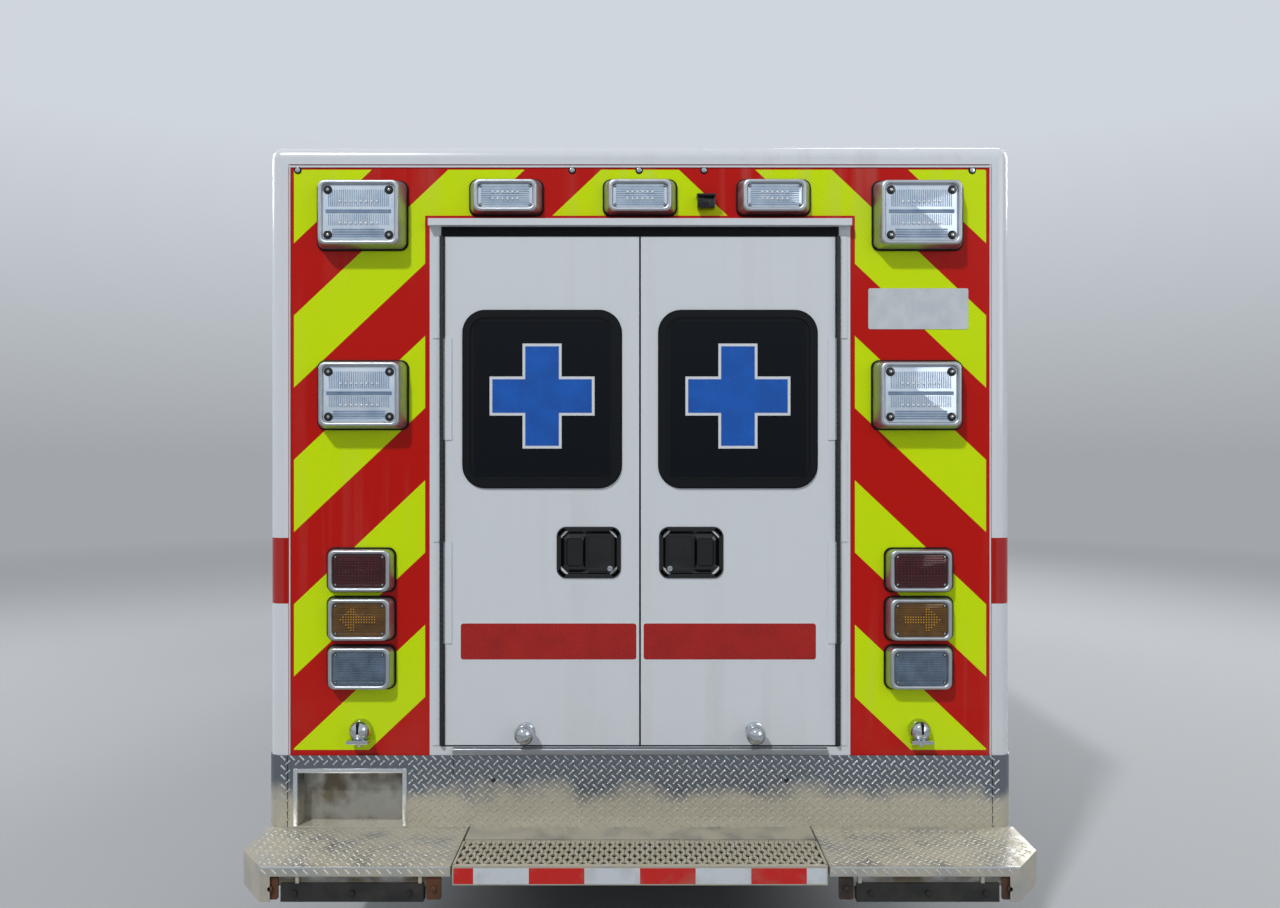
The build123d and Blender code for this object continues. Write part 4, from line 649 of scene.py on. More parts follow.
for kind, (base, lens_size, depth) in lamp_sizes.items():
    places = lamp_places(kind)
    bezels = dress(repeat(make_bezel(base, lens_size, depth), places), kind + "_lamp_bezels", "vehicle",
                   bezel_chrome)
    # A dark foam seal shows round each foot
    seal = block((-base[0] / 2 - 0.005, -base[1] / 2 - 0.005, 0),
                 (base[0] / 2 + 0.005, base[1] / 2 + 0.005, 0.007), 2, 0.026, 8, 0.002)
    dress(repeat(seal, places), kind + "_lamp_seals", "vehicle", seal_rubber_and_shade)
    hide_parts("lamp_bezels")
    face = depth - lens_sink
    if kind == "tail":
        continue
    lenses = dress(repeat(make_lens(lens_size, depth), places), kind + "_lamp_lenses", "vehicle", clear_lens)
    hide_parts("lamp_lenses")
    details = scene_lamp_details if kind == "scene" else warning_lamp_details
    flutes, lights, cup, screw = details(lens_size, face)
    dress(repeat(flutes, places), kind + "_lamp_flutes", "vehicle", blue_lens)
    dress(repeat(lights, places), kind + "_lamp_emitters", "vehicle", led_dot)
    dress(repeat(cup, places), kind + "_lamp_screw_cups", "vehicle", black_gloss_and_shade)
    dress(repeat(screw, places), kind + "_lamp_screws", "vehicle", chrome)


def in_arrow(across, up):
    """Whether a spot of the emitter grid lies in an arrow: a shaft three rows high, then a tapering head."""
    return abs(up) < 2 if across < 2 else abs(up) <= 7 - across


base, lens_size, depth = lamp_sizes["tail"]
face = depth - lens_sink
emitters = {"red": red_dot, "amber": amber_dot, "clear": smoky_lens}
for colour, (finish, z) in tail_lamps.items():
    places = [on_rear(side * tail_lamp_x, z) for side in (-1, 1)]
    lenses = dress(repeat(make_lens(lens_size, depth), places), "tail_lamp_%s_lenses" % colour, "vehicle",
                   finish)
    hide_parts("lamp_lenses")
    level = ribs(lens_size[0] * 0.86, [0.0075 * row for row in range(-6, 7)], 0.003, face, 0.0012)
    dress(repeat(level, places), "tail_lamp_%s_ribs" % colour, "vehicle", finish)
    if colour == "amber":
        # The emitters draw an arrow that points outwards, as turn lamps have
        spots = [(0.0085 * across, 0.0085 * up) for across in range(-6, 8) for up in range(-4, 5)
                 if in_arrow(across, up)]
        bpy.ops.mesh.primitive_uv_sphere_add(segments=6, ring_count=4, radius=0.0022)
        arrow = repeat(bpy.context.object, [shift(x, y, face + 0.001) for x, y in spots])
        mirrored = [place @ Matrix.Diagonal((side, 1, 1, 1)) for place, side in zip(places, (-1, 1))]
        lights = repeat(arrow, mirrored)
    else:
        lights = repeat(dots(13, 8, (0.0105, 0.0105), face + 0.001, 0.0016), places)
    dress(lights, "tail_lamp_%s_emitters" % colour, "vehicle", emitters[colour])
    corners = corners_of(lens_size, 0.011)
    cup = repeat(disc(0.0055, face - 0.002, face + 0.001, 12), corners)
    screw = repeat(disc(0.0034, face, face + 0.0025, 10, 0.001), corners)
    dress(repeat(cup, places), "tail_lamp_%s_screw_cups" % colour, "vehicle", black_gloss_and_shade)
    dress(repeat(screw, places), "tail_lamp_%s_screws" % colour, "vehicle", chrome)


def make_handle(wide, tall, side):
    """A flush paddle latch: a pan with a rim, a finger cup on one side and the paddle on the other."""
    pan = block((-wide / 2 - 0.009, -tall / 2 - 0.009, -0.020), (wide / 2 + 0.009, tall / 2 + 0.009, 0.004),
                2, 0.032, 8)
    pan = soften(hollowed(pan, 0.014, 0.018), 0.0015)
    gusset = block((-0.014, -0.006, -0.010), (0.014, 0.006, 0.004), 2, 0.003, 2)
    corners = []
    for x in (-1, 1):
        for y in (-1, 1):
            turn = Matrix.Rotation(math.radians(-45 * x * y), 4, "Z")
            corners.append(shift(x * (wide / 2 - 0.0085), y * (tall / 2 - 0.0085), 0) @ turn)
    gussets = repeat(gusset, corners)
    paddle = block((-0.010, -tall / 2 + 0.014, -0.014), (wide / 2 - 0.012, tall / 2 - 0.014, 0.008), 2, 0.012,
                   6)
    paddle = soften(hollowed(paddle, 0.009, 0.0015), 0.0015)
    cup = block((-wide / 2 + 0.020, -tall / 2 + 0.026, -0.016), (-0.016, tall / 2 - 0.026, -0.008), 2, 0.014,
                8, 0.003)
    whole = join([pan, gussets, paddle, hollowed(cup, 0.004, 0.004)])
    return repeat(whole, [Matrix.Diagonal((-side, 1, 1, 1))]) if side > 0 else whole


# Rear doors: paddle handles with their locks, and the stay balls
handle_x = 0.168
handle_z = 1.427
knob_x = 0.375
knob_z = 0.842
ball_reach = 0.078
ball = 0.033


def fit_rear_door(word, side):
    """The paddle handle, its lock and the stay ball of one rear door."""
    door = "rear_door_" + word
    place = on_rear(side * handle_x, handle_z, rear_wall_y)
    handle = repeat(make_handle(0.193, 0.151, side), [place])
    dress(handle, "paddle_handle_" + word, door, black_gloss_and_shade)
    lock = repeat(disc(0.009, 0.004, 0.011, 20, 0.001, (-side * 0.070, -0.052)), [place])
    dress(lock, "handle_lock_" + word, door, chrome)
    profile = [(0, 0.0001), (0, 0.030), (0.004, 0.030), (0.007, 0.022), (0.016, 0.014),
               (ball_reach - 2 * ball, 0.013)]
    for turn in range(1, 11):
        angle = math.pi * (0.12 + 0.88 * turn / 10)
        profile.append((ball_reach - ball - ball * math.cos(angle), max(ball * math.sin(angle), 0.0001)))
    knob = repeat(turned(profile, 2, 32), [on_rear(side * knob_x, knob_z, rear_wall_y)])
    dress(knob, "stay_ball_" + word, door, chrome)
    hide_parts("door_fittings_" + word)
    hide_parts("door_fittings_" + word)


for word, side in hands:
    fit_rear_door(word, side)

# Small pieces of the rear wall: panel screws, camera and a blank plate
screw_places = [(-1.124, 2.682), (-0.223, 2.682), (-0.003, 2.682), (0.210, 2.682), (1.091, 2.682)]
heads = repeat(disc(0.0085, 0, 0.004, 16, 0.0015), [on_rear(x, z) for x, z in screw_places])
dress(heads, "rear_panel_screws", "vehicle", chrome)
washers = repeat(disc(0.0125, 0, 0.0016, 16, 0.0006), [on_rear(x, z) for x, z in screw_places])
dress(washers, "rear_panel_washers", "vehicle", seal_rubber_and_shade)
rear_camera = join([block((-0.029, -0.020, 0), (0.029, 0.020, 0.030), 2, 0.006, 3, 0.002),
                    block((-0.032, 0.016, 0), (0.032, 0.023, 0.044), 2, 0.003, 2, 0.001),
                    disc(0.011, 0.028, 0.034, 24, 0.002)])
dress(repeat(rear_camera, [on_rear(0.216, 2.572)]), "reversing_camera", "vehicle", black_gloss_and_shade)
# Pale retroreflective sheet, blank
pale_film = plastic("pale_reflective_film", "#C6CCD2", 0.25, 0.4, 2, 0.05, "#B9C0C8", 40)
unit_plate = block((-0.164, -0.067, 0), (0.164, 0.067, 0.0015), 2, 0.006, 4)
dress(repeat(unit_plate, [on_rear(0.914, 2.227)]), "blank_unit_plate", "vehicle", pale_film)
# Trim round the recessed panels: a dark line of painted shade along the recess edges, and a pale lip
trim_places = {"top": ((-panel_half, panel_y - 0.0035, panel_top - 0.009),
                       (panel_half, panel_y, panel_top - 0.003)),
               "left": ((-panel_half + 0.001, panel_y - 0.003, panel_low),
                        (-panel_half + 0.005, panel_y, panel_top)),
               "right": ((panel_half - 0.005, panel_y - 0.003, panel_low),
                         (panel_half - 0.001, panel_y, panel_top))}
trims = join([block(low, high) for low, high in trim_places.values()])
dress(trims, "rear_panel_trim", "vehicle", white_enamel)
# The dark line is painted shade along the top and sides of the recess
line = join([block((-panel_half, panel_y - 0.0012, panel_top - 0.003), (panel_half, panel_y, panel_top)),
             block((-panel_half, panel_y - 0.0012, panel_low), (-panel_half + 0.001, panel_y, panel_top)),
             block((panel_half - 0.001, panel_y - 0.0012, panel_low), (panel_half, panel_y, panel_top))])
dress(line, "rear_panel_shade_line", "vehicle", seal_rubber_and_shade)

# Door surround: a dark strip below the drip rail's lip, partly rubber seal and partly the lip's shadow
# painted in, and rubber in the gaps round the leaves and in the middle seam
opening_half = 0.652
leaf_low = 0.795
leaf_top = 2.463
drip_low = 2.495
surround = [block((-opening_half, rear_wall_y - 0.0015, leaf_top + 0.001),
                  (opening_half, rear_wall_y + 0.012, drip_low))]
surround += [block((side * 0.6476, rear_wall_y + 0.008, leaf_low),
                   (side * 0.6515, rear_wall_y + 0.03, leaf_top)) for side in (-1, 1)]
surround.append(block((-opening_half, rear_wall_y + 0.0005, 0.7885),
                      (opening_half, rear_wall_y + 0.03, leaf_low - 0.001)))
dress(join(surround), "rear_doorway_seal_and_shade", "vehicle", seal_rubber_and_shade)
seam = block((-0.0026, rear_wall_y + 0.004, leaf_low), (0.0026, rear_wall_y + 0.03, leaf_top))
dress(seam, "rear_door_meeting_seal", "rear_door_right", seal_rubber_and_shade)

hinge_metal = metal("weathered_hinge_steel", "#3A4043", 0.4, 0.6, 20, dirt="#2A2D2E", dirt_share=0.3)
knuckle_pitch = 0.019
knuckle_gap = 0.002


def knuckle_lines(radius, low, count, at):
    """Dark rings up a hinge pin, painted shade in the gap above each knuckle."""
    starts = [low + knuckle_pitch * rise for rise in range(count)]
    return join([disc(radius, start_z, start_z + knuckle_gap, 12, at=at) for start_z in starts])


# Continuous hinges of the rear doors
hinge_x = 0.6495
pin_y = rear_wall_y - 0.0075
for word, side in hands:
    grooves = knuckle_lines(0.0074, leaf_low + 0.0095, int((leaf_top - leaf_low) / knuckle_pitch),
                            (side * hinge_x, pin_y))
    barrel = disc(0.0071, leaf_low, leaf_top, 16, 0, (side * hinge_x, pin_y))
    dress(barrel, "rear_hinge_barrel_" + word, "vehicle", hinge_metal)
    dress(grooves, "rear_hinge_knuckle_lines_" + word, "vehicle", black_gloss_and_shade)
    seal_line = block((side * 0.6405, rear_wall_y - 0.0048, leaf_low),
                      (side * 0.6445, rear_wall_y + 0.001, leaf_top))
    dress(seal_line, "rear_leaf_edge_seal_" + word, "rear_door_" + word, seal_rubber_and_shade)

# Blue cross with a silver edge on each rear window, and the red reflective bar across both doors
cross_blue = plastic("blue_film", "#0650A8", 0.18, 0.3, 3, 0.03, "#085ABB", 60)
silver_film = plastic("silver_film", "#D5DADF", 0.25, 0.35, 3, 0.03)
red_film = plastic("red_reflective_film", band_red, 0.22, 0.35, 3, 0.05, "#981009", 70)


def cross(reach, arm, low, high):
    """A flat cross, its four arms extruded from the middle block."""
    piece = block((-arm / 2, -arm / 2, low), (arm / 2, arm / 2, high))
    bpy.ops.object.mode_set(mode="EDIT")
    for axis, turn in ((0, 1), (0, -1), (1, 1), (1, -1)):
        pick("faces", lambda face: face.normal[axis] * turn > 0.9
             and abs(face.calc_center_median()[1 - axis]) < 0.001
             and face.calc_center_median()[axis] * turn < arm)
        move = [0, 0, 0]
        move[axis] = turn * (reach - arm / 2)
        bpy.ops.mesh.extrude_region_move(TRANSFORM_OT_translate={"value": move})
    bpy.ops.object.mode_set(mode="OBJECT")
    return piece


glass_y = rear_wall_y - 0.003
leaf_window_x = 0.321
bar_low = 1.070
bar_high = 1.200
bar_near = 0.006
bar_far = {"left": 0.594, "right": 0.583}


def film_rear_door(word, side):
    """The cross, the bar and the window gasket of one rear door."""
    door = "rear_door_" + word
    place = on_rear(side * leaf_window_x, window_z + 0.010, glass_y)
    dress(repeat(cross(0.172, 0.128, 0, 0.0006), [place]), "window_cross_edge_" + word, door, silver_film)
    dress(repeat(cross(0.163, 0.110, 0, 0.0011), [place]), "window_cross_" + word, door, cross_blue)
    for name, inset, thick, film in (("bar_edge", 0, 0.0005, silver_film), ("bar", 0.006, 0.001, red_film)):
        bar = block((side * (bar_near + inset), rear_wall_y - thick, bar_low + inset),
                    (side * (bar_far[word] - inset), rear_wall_y + 0.001, bar_high - inset), 1, 0.008, 4)
        dress(bar, "reflective_%s_%s" % (name, word), door, film)
    middle = side * leaf_window_x
    gasket = block((middle - 0.262, rear_wall_y - 0.0025, window_z - 0.293),
                   (middle + 0.262, rear_wall_y + 0.001, window_z + 0.293), 1, 0.076, 12)
    dress(gasket, "rear_window_gasket_" + word, door, seal_rubber_and_shade)


for word, side in hands:
    film_rear_door(word, side)

# Tread plate: raised bars at 45 degrees, 31 mm apart in rows that lean to either side in turn
bar_pitch = 0.031


def tread_bars(places_and_sizes, name, body, finish, keep=None):
    """Bars on flat rectangles, each given by its frame, width and height; keep says which bars stay."""
    made = []
    for place, wide, tall in places_and_sizes:
        bar = block((-0.0105, -0.0030, -0.0004), (0.0105, 0.0030, 0.0016))
        bpy.ops.object.mode_set(mode="EDIT")
        pick("faces", lambda face: face.normal.z > 0.9)
        bpy.ops.transform.resize(value=(0.72, 0.45, 1), center_override=(0, 0, 0.0016))
        bpy.ops.object.mode_set(mode="OBJECT")
        spots = []
        columns = int((wide - 0.016) / bar_pitch)
        rows = int((tall - 0.012) / (bar_pitch / 2))
        for column in range(columns + 1):
            for row in range(rows + 1):
                x = (column - columns / 2 + row % 2 / 2 - 0.25) * bar_pitch
                y = (row - rows / 2) * bar_pitch / 2
                if keep is None or keep(place @ Vector((x, y, 0))):
                    turn = math.radians(45 if row % 2 else -45)
                    spots.append(place @ shift(x, y, 0) @ Matrix.Rotation(turn, 4, "Z"))
        made.append(repeat(bar, spots))
    return dress(join(made), name, body, finish)


kick_y = rear_wall_y - 0.004
recess_x = -0.950
recess_half = 0.172
bumper_top = 0.528
kick_low = bumper_top
plate_trim_low = 0.705
recess_low = 0.531
tail_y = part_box("rear_step")[0].y


def clear_of_recess(spot):
    """Whether a spot on the kick plate lies off the plate recess and its trim."""
    return abs(spot.x - recess_x) > recess_half + 0.022 or spot.z > 0.725 or spot.y > rear_wall_y + 0.02


def dusted_below(name, colour, smooth, rough):
    """Aluminium that road dust dulls below the middle of the kick plate."""
    made = metal(name, colour, smooth, rough, 20, bump=0.05)
    tree = made.node_tree
    where = step(tree, "TexCoord").outputs["Object"]
    level = step(tree, "SeparateXYZ", {"Vector": where}).outputs["Z"]
    cloud = ranged(tree, patches(tree, where, 120), 0.3, 0.7, -0.03, 0.03)
    dust = ranged(tree, counted(tree, "ADD", level, cloud), 0.675, 0.61)
    shader = tree.nodes["Principled BSDF"]
    tree.links.new(blended(tree, dust, colour, "#BAB5A6"), shader.inputs["Base Color"])
    tree.links.new(ranged(tree, dust, 0, 1, 1.0, 0.3), shader.inputs["Metallic"])
    return made


kick_finish = dusted_below("kick_plate_aluminium", "#7D838B", 0.24, 0.42)
kick_bar = dusted_below("kick_plate_bars_aluminium", "#E6E8EA", 0.16, 0.32)
dusty_bar = metal("dusty_tread_bars", "#D2D0C8", 0.35, 0.5, 8, dirt="#BDB8A9", dirt_share=0.35)
finish_nodes(kick_finish, ("rear_kick_plate",))
kick_height = panel_low - kick_low
kick_middle = (panel_low + kick_low) / 2
corner_faces = [facing((side * (side_wall_x + 0.004), rear_wall_y + 0.080, kick_middle), (side, 0, 0))
                for side in (-1, 1)]
kick_faces = [(on_rear(0, kick_middle, kick_y), 2.370, kick_height)]
kick_faces += [(face, 0.076, kick_height) for face in corner_faces]
tread_bars(kick_faces, "kick_plate_bars", "vehicle", kick_bar, clear_of_recess)

# The wings' outer corners are cut off behind this line
wing_reach = 1.222
cut_y = -3.445
cut_slope = 0.096 / 0.120


def on_wing(spot):
    """Whether a spot lies on a bumper wing, clear of its cut outer corner."""
    corner = wing_reach - max(0, cut_y - spot.y) * cut_slope
    return abs(spot.x) < corner - 0.022


wing_middle_y = (tail_y + kick_y) / 2
wings = [(shift(side * 0.892, wing_middle_y, bumper_top), 0.650, kick_y - tail_y - 0.03) for side in (-1, 1)]
tread_bars(wings, "bumper_wing_bars", "vehicle", dusty_bar, on_wing)
flanges = [(on_rear(side * 0.844, bumper_top - 0.015, tail_y), 0.560, 0.026) for side in (-1, 1)]
# Bright strips along the wings' front edges: a painted highlight where the rolled edge catches the light
edges = [block((side * 0.566, tail_y - 0.0006, bumper_top - 0.005),
               (side * 1.125, tail_y + 0.003, bumper_top + 0.0008), 0, 0.0012, 2) for side in (-1, 1)]
dress(join(edges), "bumper_edge_painted_highlight", "vehicle", polished_bar_and_highlight)
tread_bars(flanges, "bumper_flange_bars", "vehicle", polished_bar_and_highlight)
strips = [(shift(side * 1.024, 1.7015, 0.430), 0.030, 1.190) for side in (-1, 1)]
tread_bars(strips, "running_board_bars", "vehicle", polished_bar_and_highlight)

# Seams and plugs of the kick plate
seams = [block((x - 0.001, kick_y - 0.0006, low), (x + 0.001, kick_y + 0.001, high))
         for x, low, high in ((-1.155, kick_low, panel_low), (1.155, kick_low, panel_low),
                              (-0.612, 0.70, panel_low))]
dress(join(seams), "kick_plate_seams", "vehicle", seal_rubber_and_shade)
holes = repeat(disc(0.008, -0.001, 0.0008, 16), [on_rear(x, 0.681, kick_y) for x in (-0.480, 0.480)])
dress(holes, "kick_plate_plugs", "vehicle", black_gloss_and_shade)
# Trim and dirt of the licence plate recess, which stays empty
trim_width = 0.014
trim_high = plate_trim_low + trim_width
trim_spans = [(recess_x - recess_half, recess_x + recess_half, plate_trim_low),
              (recess_x + recess_half, recess_x + recess_half + trim_width, recess_low),
              (recess_x - recess_half - trim_width, recess_x - recess_half, recess_low)]
bands = [block((near, kick_y - 0.003, low), (far, kick_y + 0.001, trim_high), edge=0.001)
         for near, far, low in trim_spans]
dress(join(bands), "plate_recess_trim", "vehicle", polished_bar_and_highlight)
backing = block((recess_x - 0.168, -3.2042, 0.533), (recess_x + 0.168, -3.2032, 0.703))
bpy.ops.object.mode_set(mode="EDIT")
bpy.ops.mesh.select_all(action="SELECT")
bpy.ops.mesh.subdivide(number_cuts=3)
bpy.ops.object.mode_set(mode="OBJECT")
dress(backing, "plate_recess_backing", "vehicle", dirty_plate)
threshold = block((-0.612, rear_wall_y - 0.0155, 0.765), (0.612, rear_wall_y - 0.002, 0.787), 0, 0.004, 3)
dress(threshold, "door_threshold", "vehicle", floor_sheet)

# Folding step: the red and white tape on its face, and the grip tread on top


def striped_tape(name, stripe):
    """Tape in stripes of red and white, dulled by road dirt in patches."""
    made = plastic(name, "#C8CED5", 0.25, 0.4, 2, 0.05)
    tree = made.node_tree
    where = step(tree, "TexCoord").outputs["Object"]
    across = step(tree, "SeparateXYZ", {"Vector": where}).outputs["X"]
    turn = counted(tree, "FRACT", counted(tree, "DIVIDE", across, 2 * stripe))
    red = counted(tree, "LESS_THAN", turn, 0.5)
    dirt = ranged(tree, patches(tree, where, 50), 0.5, 0.75, 0, 0.3)
    stripes = blended(tree, red, "#C8CED5", "#C4140A")
    shader = tree.nodes["Principled BSDF"]
    tree.links.new(blended(tree, dirt, stripes, "#8B8779"), shader.inputs["Base Color"])
    return made


tape = striped_tape("red_and_white_tape", 0.1645)
step_half = 0.556
tape_piece = block((-step_half + 0.004, tail_y - 0.0008, 0.478), (step_half - 0.004, tail_y + 0.001, 0.5245),
                   1, 0.002, 2)
dress(tape_piece, "step_reflective_tape", "rear_step", tape)
# Strands of the grip tread cross in diamonds 31 mm wide, over the dark below, and carry cut teeth
grip_rows = 3
grip_low = tail_y + 0.010
grip_high = -3.388
rail_y = -3.3825
grip_top = bumper_top + 0.006
cell = (0.031, (grip_high - grip_low) / grip_rows)
columns = int((2 * step_half - 0.020) / cell[0])
strand_length = math.hypot(cell[0] / 2, cell[1] / 2)
strand = block((-strand_length / 2, -0.0056, -0.0005), (strand_length / 2, 0.0056, 0.007), 2, 0, edge=0.001)
tooth = [disc(0.0030, 0.006, 0.0105, 6, tip=0.0016, at=(along_it * strand_length * 0.28, 0))
         for along_it in (-1, 0, 1)]
strand = join([strand] + tooth)
lean_angle = math.atan2(cell[1], cell[0])
spots = []
for column in range(columns):
    for row in range(grip_rows):
        x = (column - (columns - 1) / 2) * cell[0]
        y = grip_low + (row + 0.5) * cell[1]
        for across in (-1, 1):
            for ahead in (-1, 1):
                turn = Matrix.Rotation(-across * ahead * lean_angle, 4, "Z")
                spots.append(shift(x + across * cell[0] / 4, y + ahead * cell[1] / 4, bumper_top) @ turn)
grating = metal("dusty_step_grating", "#CFCBBE", 0.38, 0.6, 20, dirt="#B9B29F", dirt_share=0.35)
dress(repeat(strand, spots), "step_grip_tread", "rear_step", grating)
grip_frame = [((-step_half, tail_y + 0.0005), (step_half, tail_y + 0.009)),
              ((-step_half, rail_y - 0.0075), (step_half, rail_y)),
              ((-step_half + 0.008, tail_y + 0.001), (-step_half, rail_y)),
              ((step_half - 0.008, tail_y + 0.001), (step_half, rail_y))]
rims = [block((*near, bumper_top - 0.001), (*far, grip_top), edge=0.0015) for near, far in grip_frame]
dress(join(rims), "step_grip_frame", "rear_step", grating)
below = block((-step_half + 0.004, tail_y + 0.004, bumper_top - 0.0002),
              (step_half - 0.004, rail_y - 0.0025, bumper_top + 0.0008))
dress(below, "step_grip_shadow", "rear_step", seal_rubber_and_shade)
# Bolts of the rubber buffers under the bumper wings
buffer_x = 0.853
buffer_face_y = -3.563
bolts = repeat(disc(0.010, 0, 0.006, 6, 0.0015), [on_rear(side * (buffer_x + away), 0.451, buffer_face_y)
                                                   for side in (-1, 1) for away in (-0.17, 0, 0.17)])
dress(bolts, "buffer_bolts", "vehicle", black_gloss_and_shade)

# Tyres: carcass turned from a profile, five ribs of tread blocks and moulded sidewall rings
tyre_radius = 0.372
rim_radius = 0.2035


def make_tyre():
    """One tyre about the X axis: bulged walls, round shoulders and a blocked tread."""
    tread = tyre_radius - 0.009
    outer = [(-0.092, rim_radius), (-0.097, rim_radius + 0.012), (-0.106, 0.245), (-0.1122, 0.290),
             (-0.1125, 0.305), (-0.110, 0.325), (-0.104, 0.345), (-0.097, 0.357), (-0.086, tread)]
    profile = outer + [(-x, radius) for x, radius in reversed(outer)] + [outer[0]]
    carcass = turned(profile, 0, 72)
    ridges = [turned([(side * 0.1085, radius - 0.002), (side * 0.1128, radius - 0.001),
                      (side * 0.1128, radius + 0.001), (side * 0.1085, radius + 0.002)], 0, 72)
              for side in (-1, 1) for radius in (0.262, 0.318)]
    blocks = []
    count = 60
    for lane in range(5):
        across = (lane - 2) * 0.040
        wide = 0.034 if abs(lane - 2) < 2 else 0.036
        piece = block((across - wide / 2, -0.0155, tread - 0.003),
                      (across + wide / 2, 0.0155, tyre_radius - 0.0004))
        bpy.ops.object.mode_set(mode="EDIT")
        pick("faces", lambda face: face.normal.z > 0.9)
        bpy.ops.transform.resize(value=(0.9, 0.88, 1), center_override=(across, 0, tyre_radius))
        bpy.ops.object.mode_set(mode="OBJECT")
        skew = Matrix.Rotation(math.radians(8 * (lane - 2)), 4, "Z")
        turns = [math.tau * (turn + 0.5 * (lane % 2)) / count for turn in range(count)]
        blocks.append(repeat(piece, [Matrix.Rotation(turn, 4, "X") @ skew for turn in turns]))
    return join([carcass] + ridges + blocks)


dual_x = 0.925
dual_half = 0.1325
rear_axle_y = -1.208
front_axle_y = 2.805
front_wheel_x = 0.850
tyre = make_tyre()
wheel_places = {}
for word, side in hands:
    front_place = shift(side * front_wheel_x, front_axle_y, tyre_radius)
    rear_places = [shift(side * (dual_x + away), rear_axle_y, tyre_radius)
                   for away in (-dual_half, dual_half)]
    wheel_places["front_tyre_" + word] = ("front_wheel_" + word, [front_place])
    wheel_places["rear_tyres_" + word] = ("rear_wheels_" + word, rear_places)
for node_name, (body, places) in wheel_places.items():
    spare = tyre.copy()
    spare.data = tyre.data.copy()
    bpy.context.collection.objects.link(spare)
    treaded = dress(repeat(spare, places), "treaded_" + node_name, body, tyre_rubber)
    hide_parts(node_name)
bpy.data.objects.remove(tyre)

# Wheel nuts
rim_faces = {}
for word, side in hands:
    front_face = facing((side * (front_wheel_x + dual_half), front_axle_y, tyre_radius), (side, 0, 0))
    rear_face = facing((side * (dual_x + 0.012), rear_axle_y, tyre_radius), (side, 0, 0))
    rim_faces["front_" + word] = ("front_wheel_" + word, front_face, 0.062)
    rim_faces["rear_" + word] = ("rear_wheels_" + word, rear_face, 0.074)
for word, (body, place, hub_reach) in rim_faces.items():
    nut = disc(0.0165, 0, 0.020, 6, 0.002)
    circle = [place @ Matrix.Rotation(math.tau * turn / 8, 4, "Z") @ shift(0.082, 0, 0) for turn in range(8)]
    dress(repeat(nut, circle), "wheel_nuts_" + word, body, chrome)

# Door grabbers beside the lamps: a chromed socket with a slot for the stay ball, the slot drawn as a dark
# strip of painted shade, and its spring lip
hook_x = 0.915
hook_z = 0.846
socket = turned([(0, 0.0001), (0, 0.036), (0.005, 0.037), (0.020, 0.036), (0.034, 0.031), (0.045, 0.020),
                 (0.050, 0.0001)], 2, 32)
lip = soften(join([block((-0.036, -0.036, 0.020), (0.036, -0.024, 0.052), 2, 0.004, 3),
                   block((-0.006, -0.050, 0), (0.006, -0.026, 0.030), 2, 0.002, 2)]), 0.002)
slot = block((-0.0035, -0.004, 0.030), (0.0035, 0.030, 0.0508), 2, 0.0015, 2)
hook_places = [on_rear(side * hook_x, hook_z) for side in (-1, 1)]
grabbers = dress(repeat(join([socket, lip]), hook_places), "door_grabbers", "vehicle", chrome)
dress(repeat(slot, hook_places), "door_grabber_slots", "vehicle", seal_rubber_and_shade)
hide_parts("door_hooks")
# Backing strips behind the buffers
backing = join([block((side * buffer_x - 0.235, tail_y + 0.012, 0.468),
                      (side * buffer_x + 0.235, tail_y + 0.017, 0.508), 1, 0.002, 2) for side in (-1, 1)])
dress(backing, "buffer_backing_strips", "vehicle", dirty_plate)
# Brackets at the buffers' ends, browned with rust
rusty = metal("rusted_steel_bracket", "#4A4441", 0.5, 0.7, 12, dirt="#5E3A22", dirt_share=0.25, bump=0.3)
bracket_y = tail_y + 0.008
bracket_x = [side * near for side in (-1, 1) for near in (0.612, 1.096)]
ends = [block((x - 0.022, bracket_y, 0.428), (x + 0.022, bracket_y + 0.006, 0.496), 1, 0.006, 3)
        for x in bracket_x]
dress(join(ends), "buffer_end_brackets", "vehicle", rusty)
bracket_bolts = repeat(disc(0.009, 0, 0.008, 6, 0.001), [on_rear(x, 0.462, bracket_y) for x in bracket_x])
dress(bracket_bolts, "bracket_bolts", "vehicle", rusty)

# Side leaves: the seals round them, their paddle latches, their hinge lines and drip rails
side_pin_x = 1.2265
side_leaf_low = 0.480
side_leaf_gap = 0.0045
# The side of each opening, its rear and front edges along Y, and its top edge
side_leaves = {"locker_door_front_left": (-1, 0.345, 0.955, 2.150),
               "locker_door_middle_left": (-1, -0.635, 0.185, 1.330),
               "locker_door_rear_left": (-1, -2.925, -1.925, 1.900),
               "locker_door_rear_right": (1, -2.925, -1.925, 1.330),
               "side_door": (1, -0.370, 0.430, 2.440)}


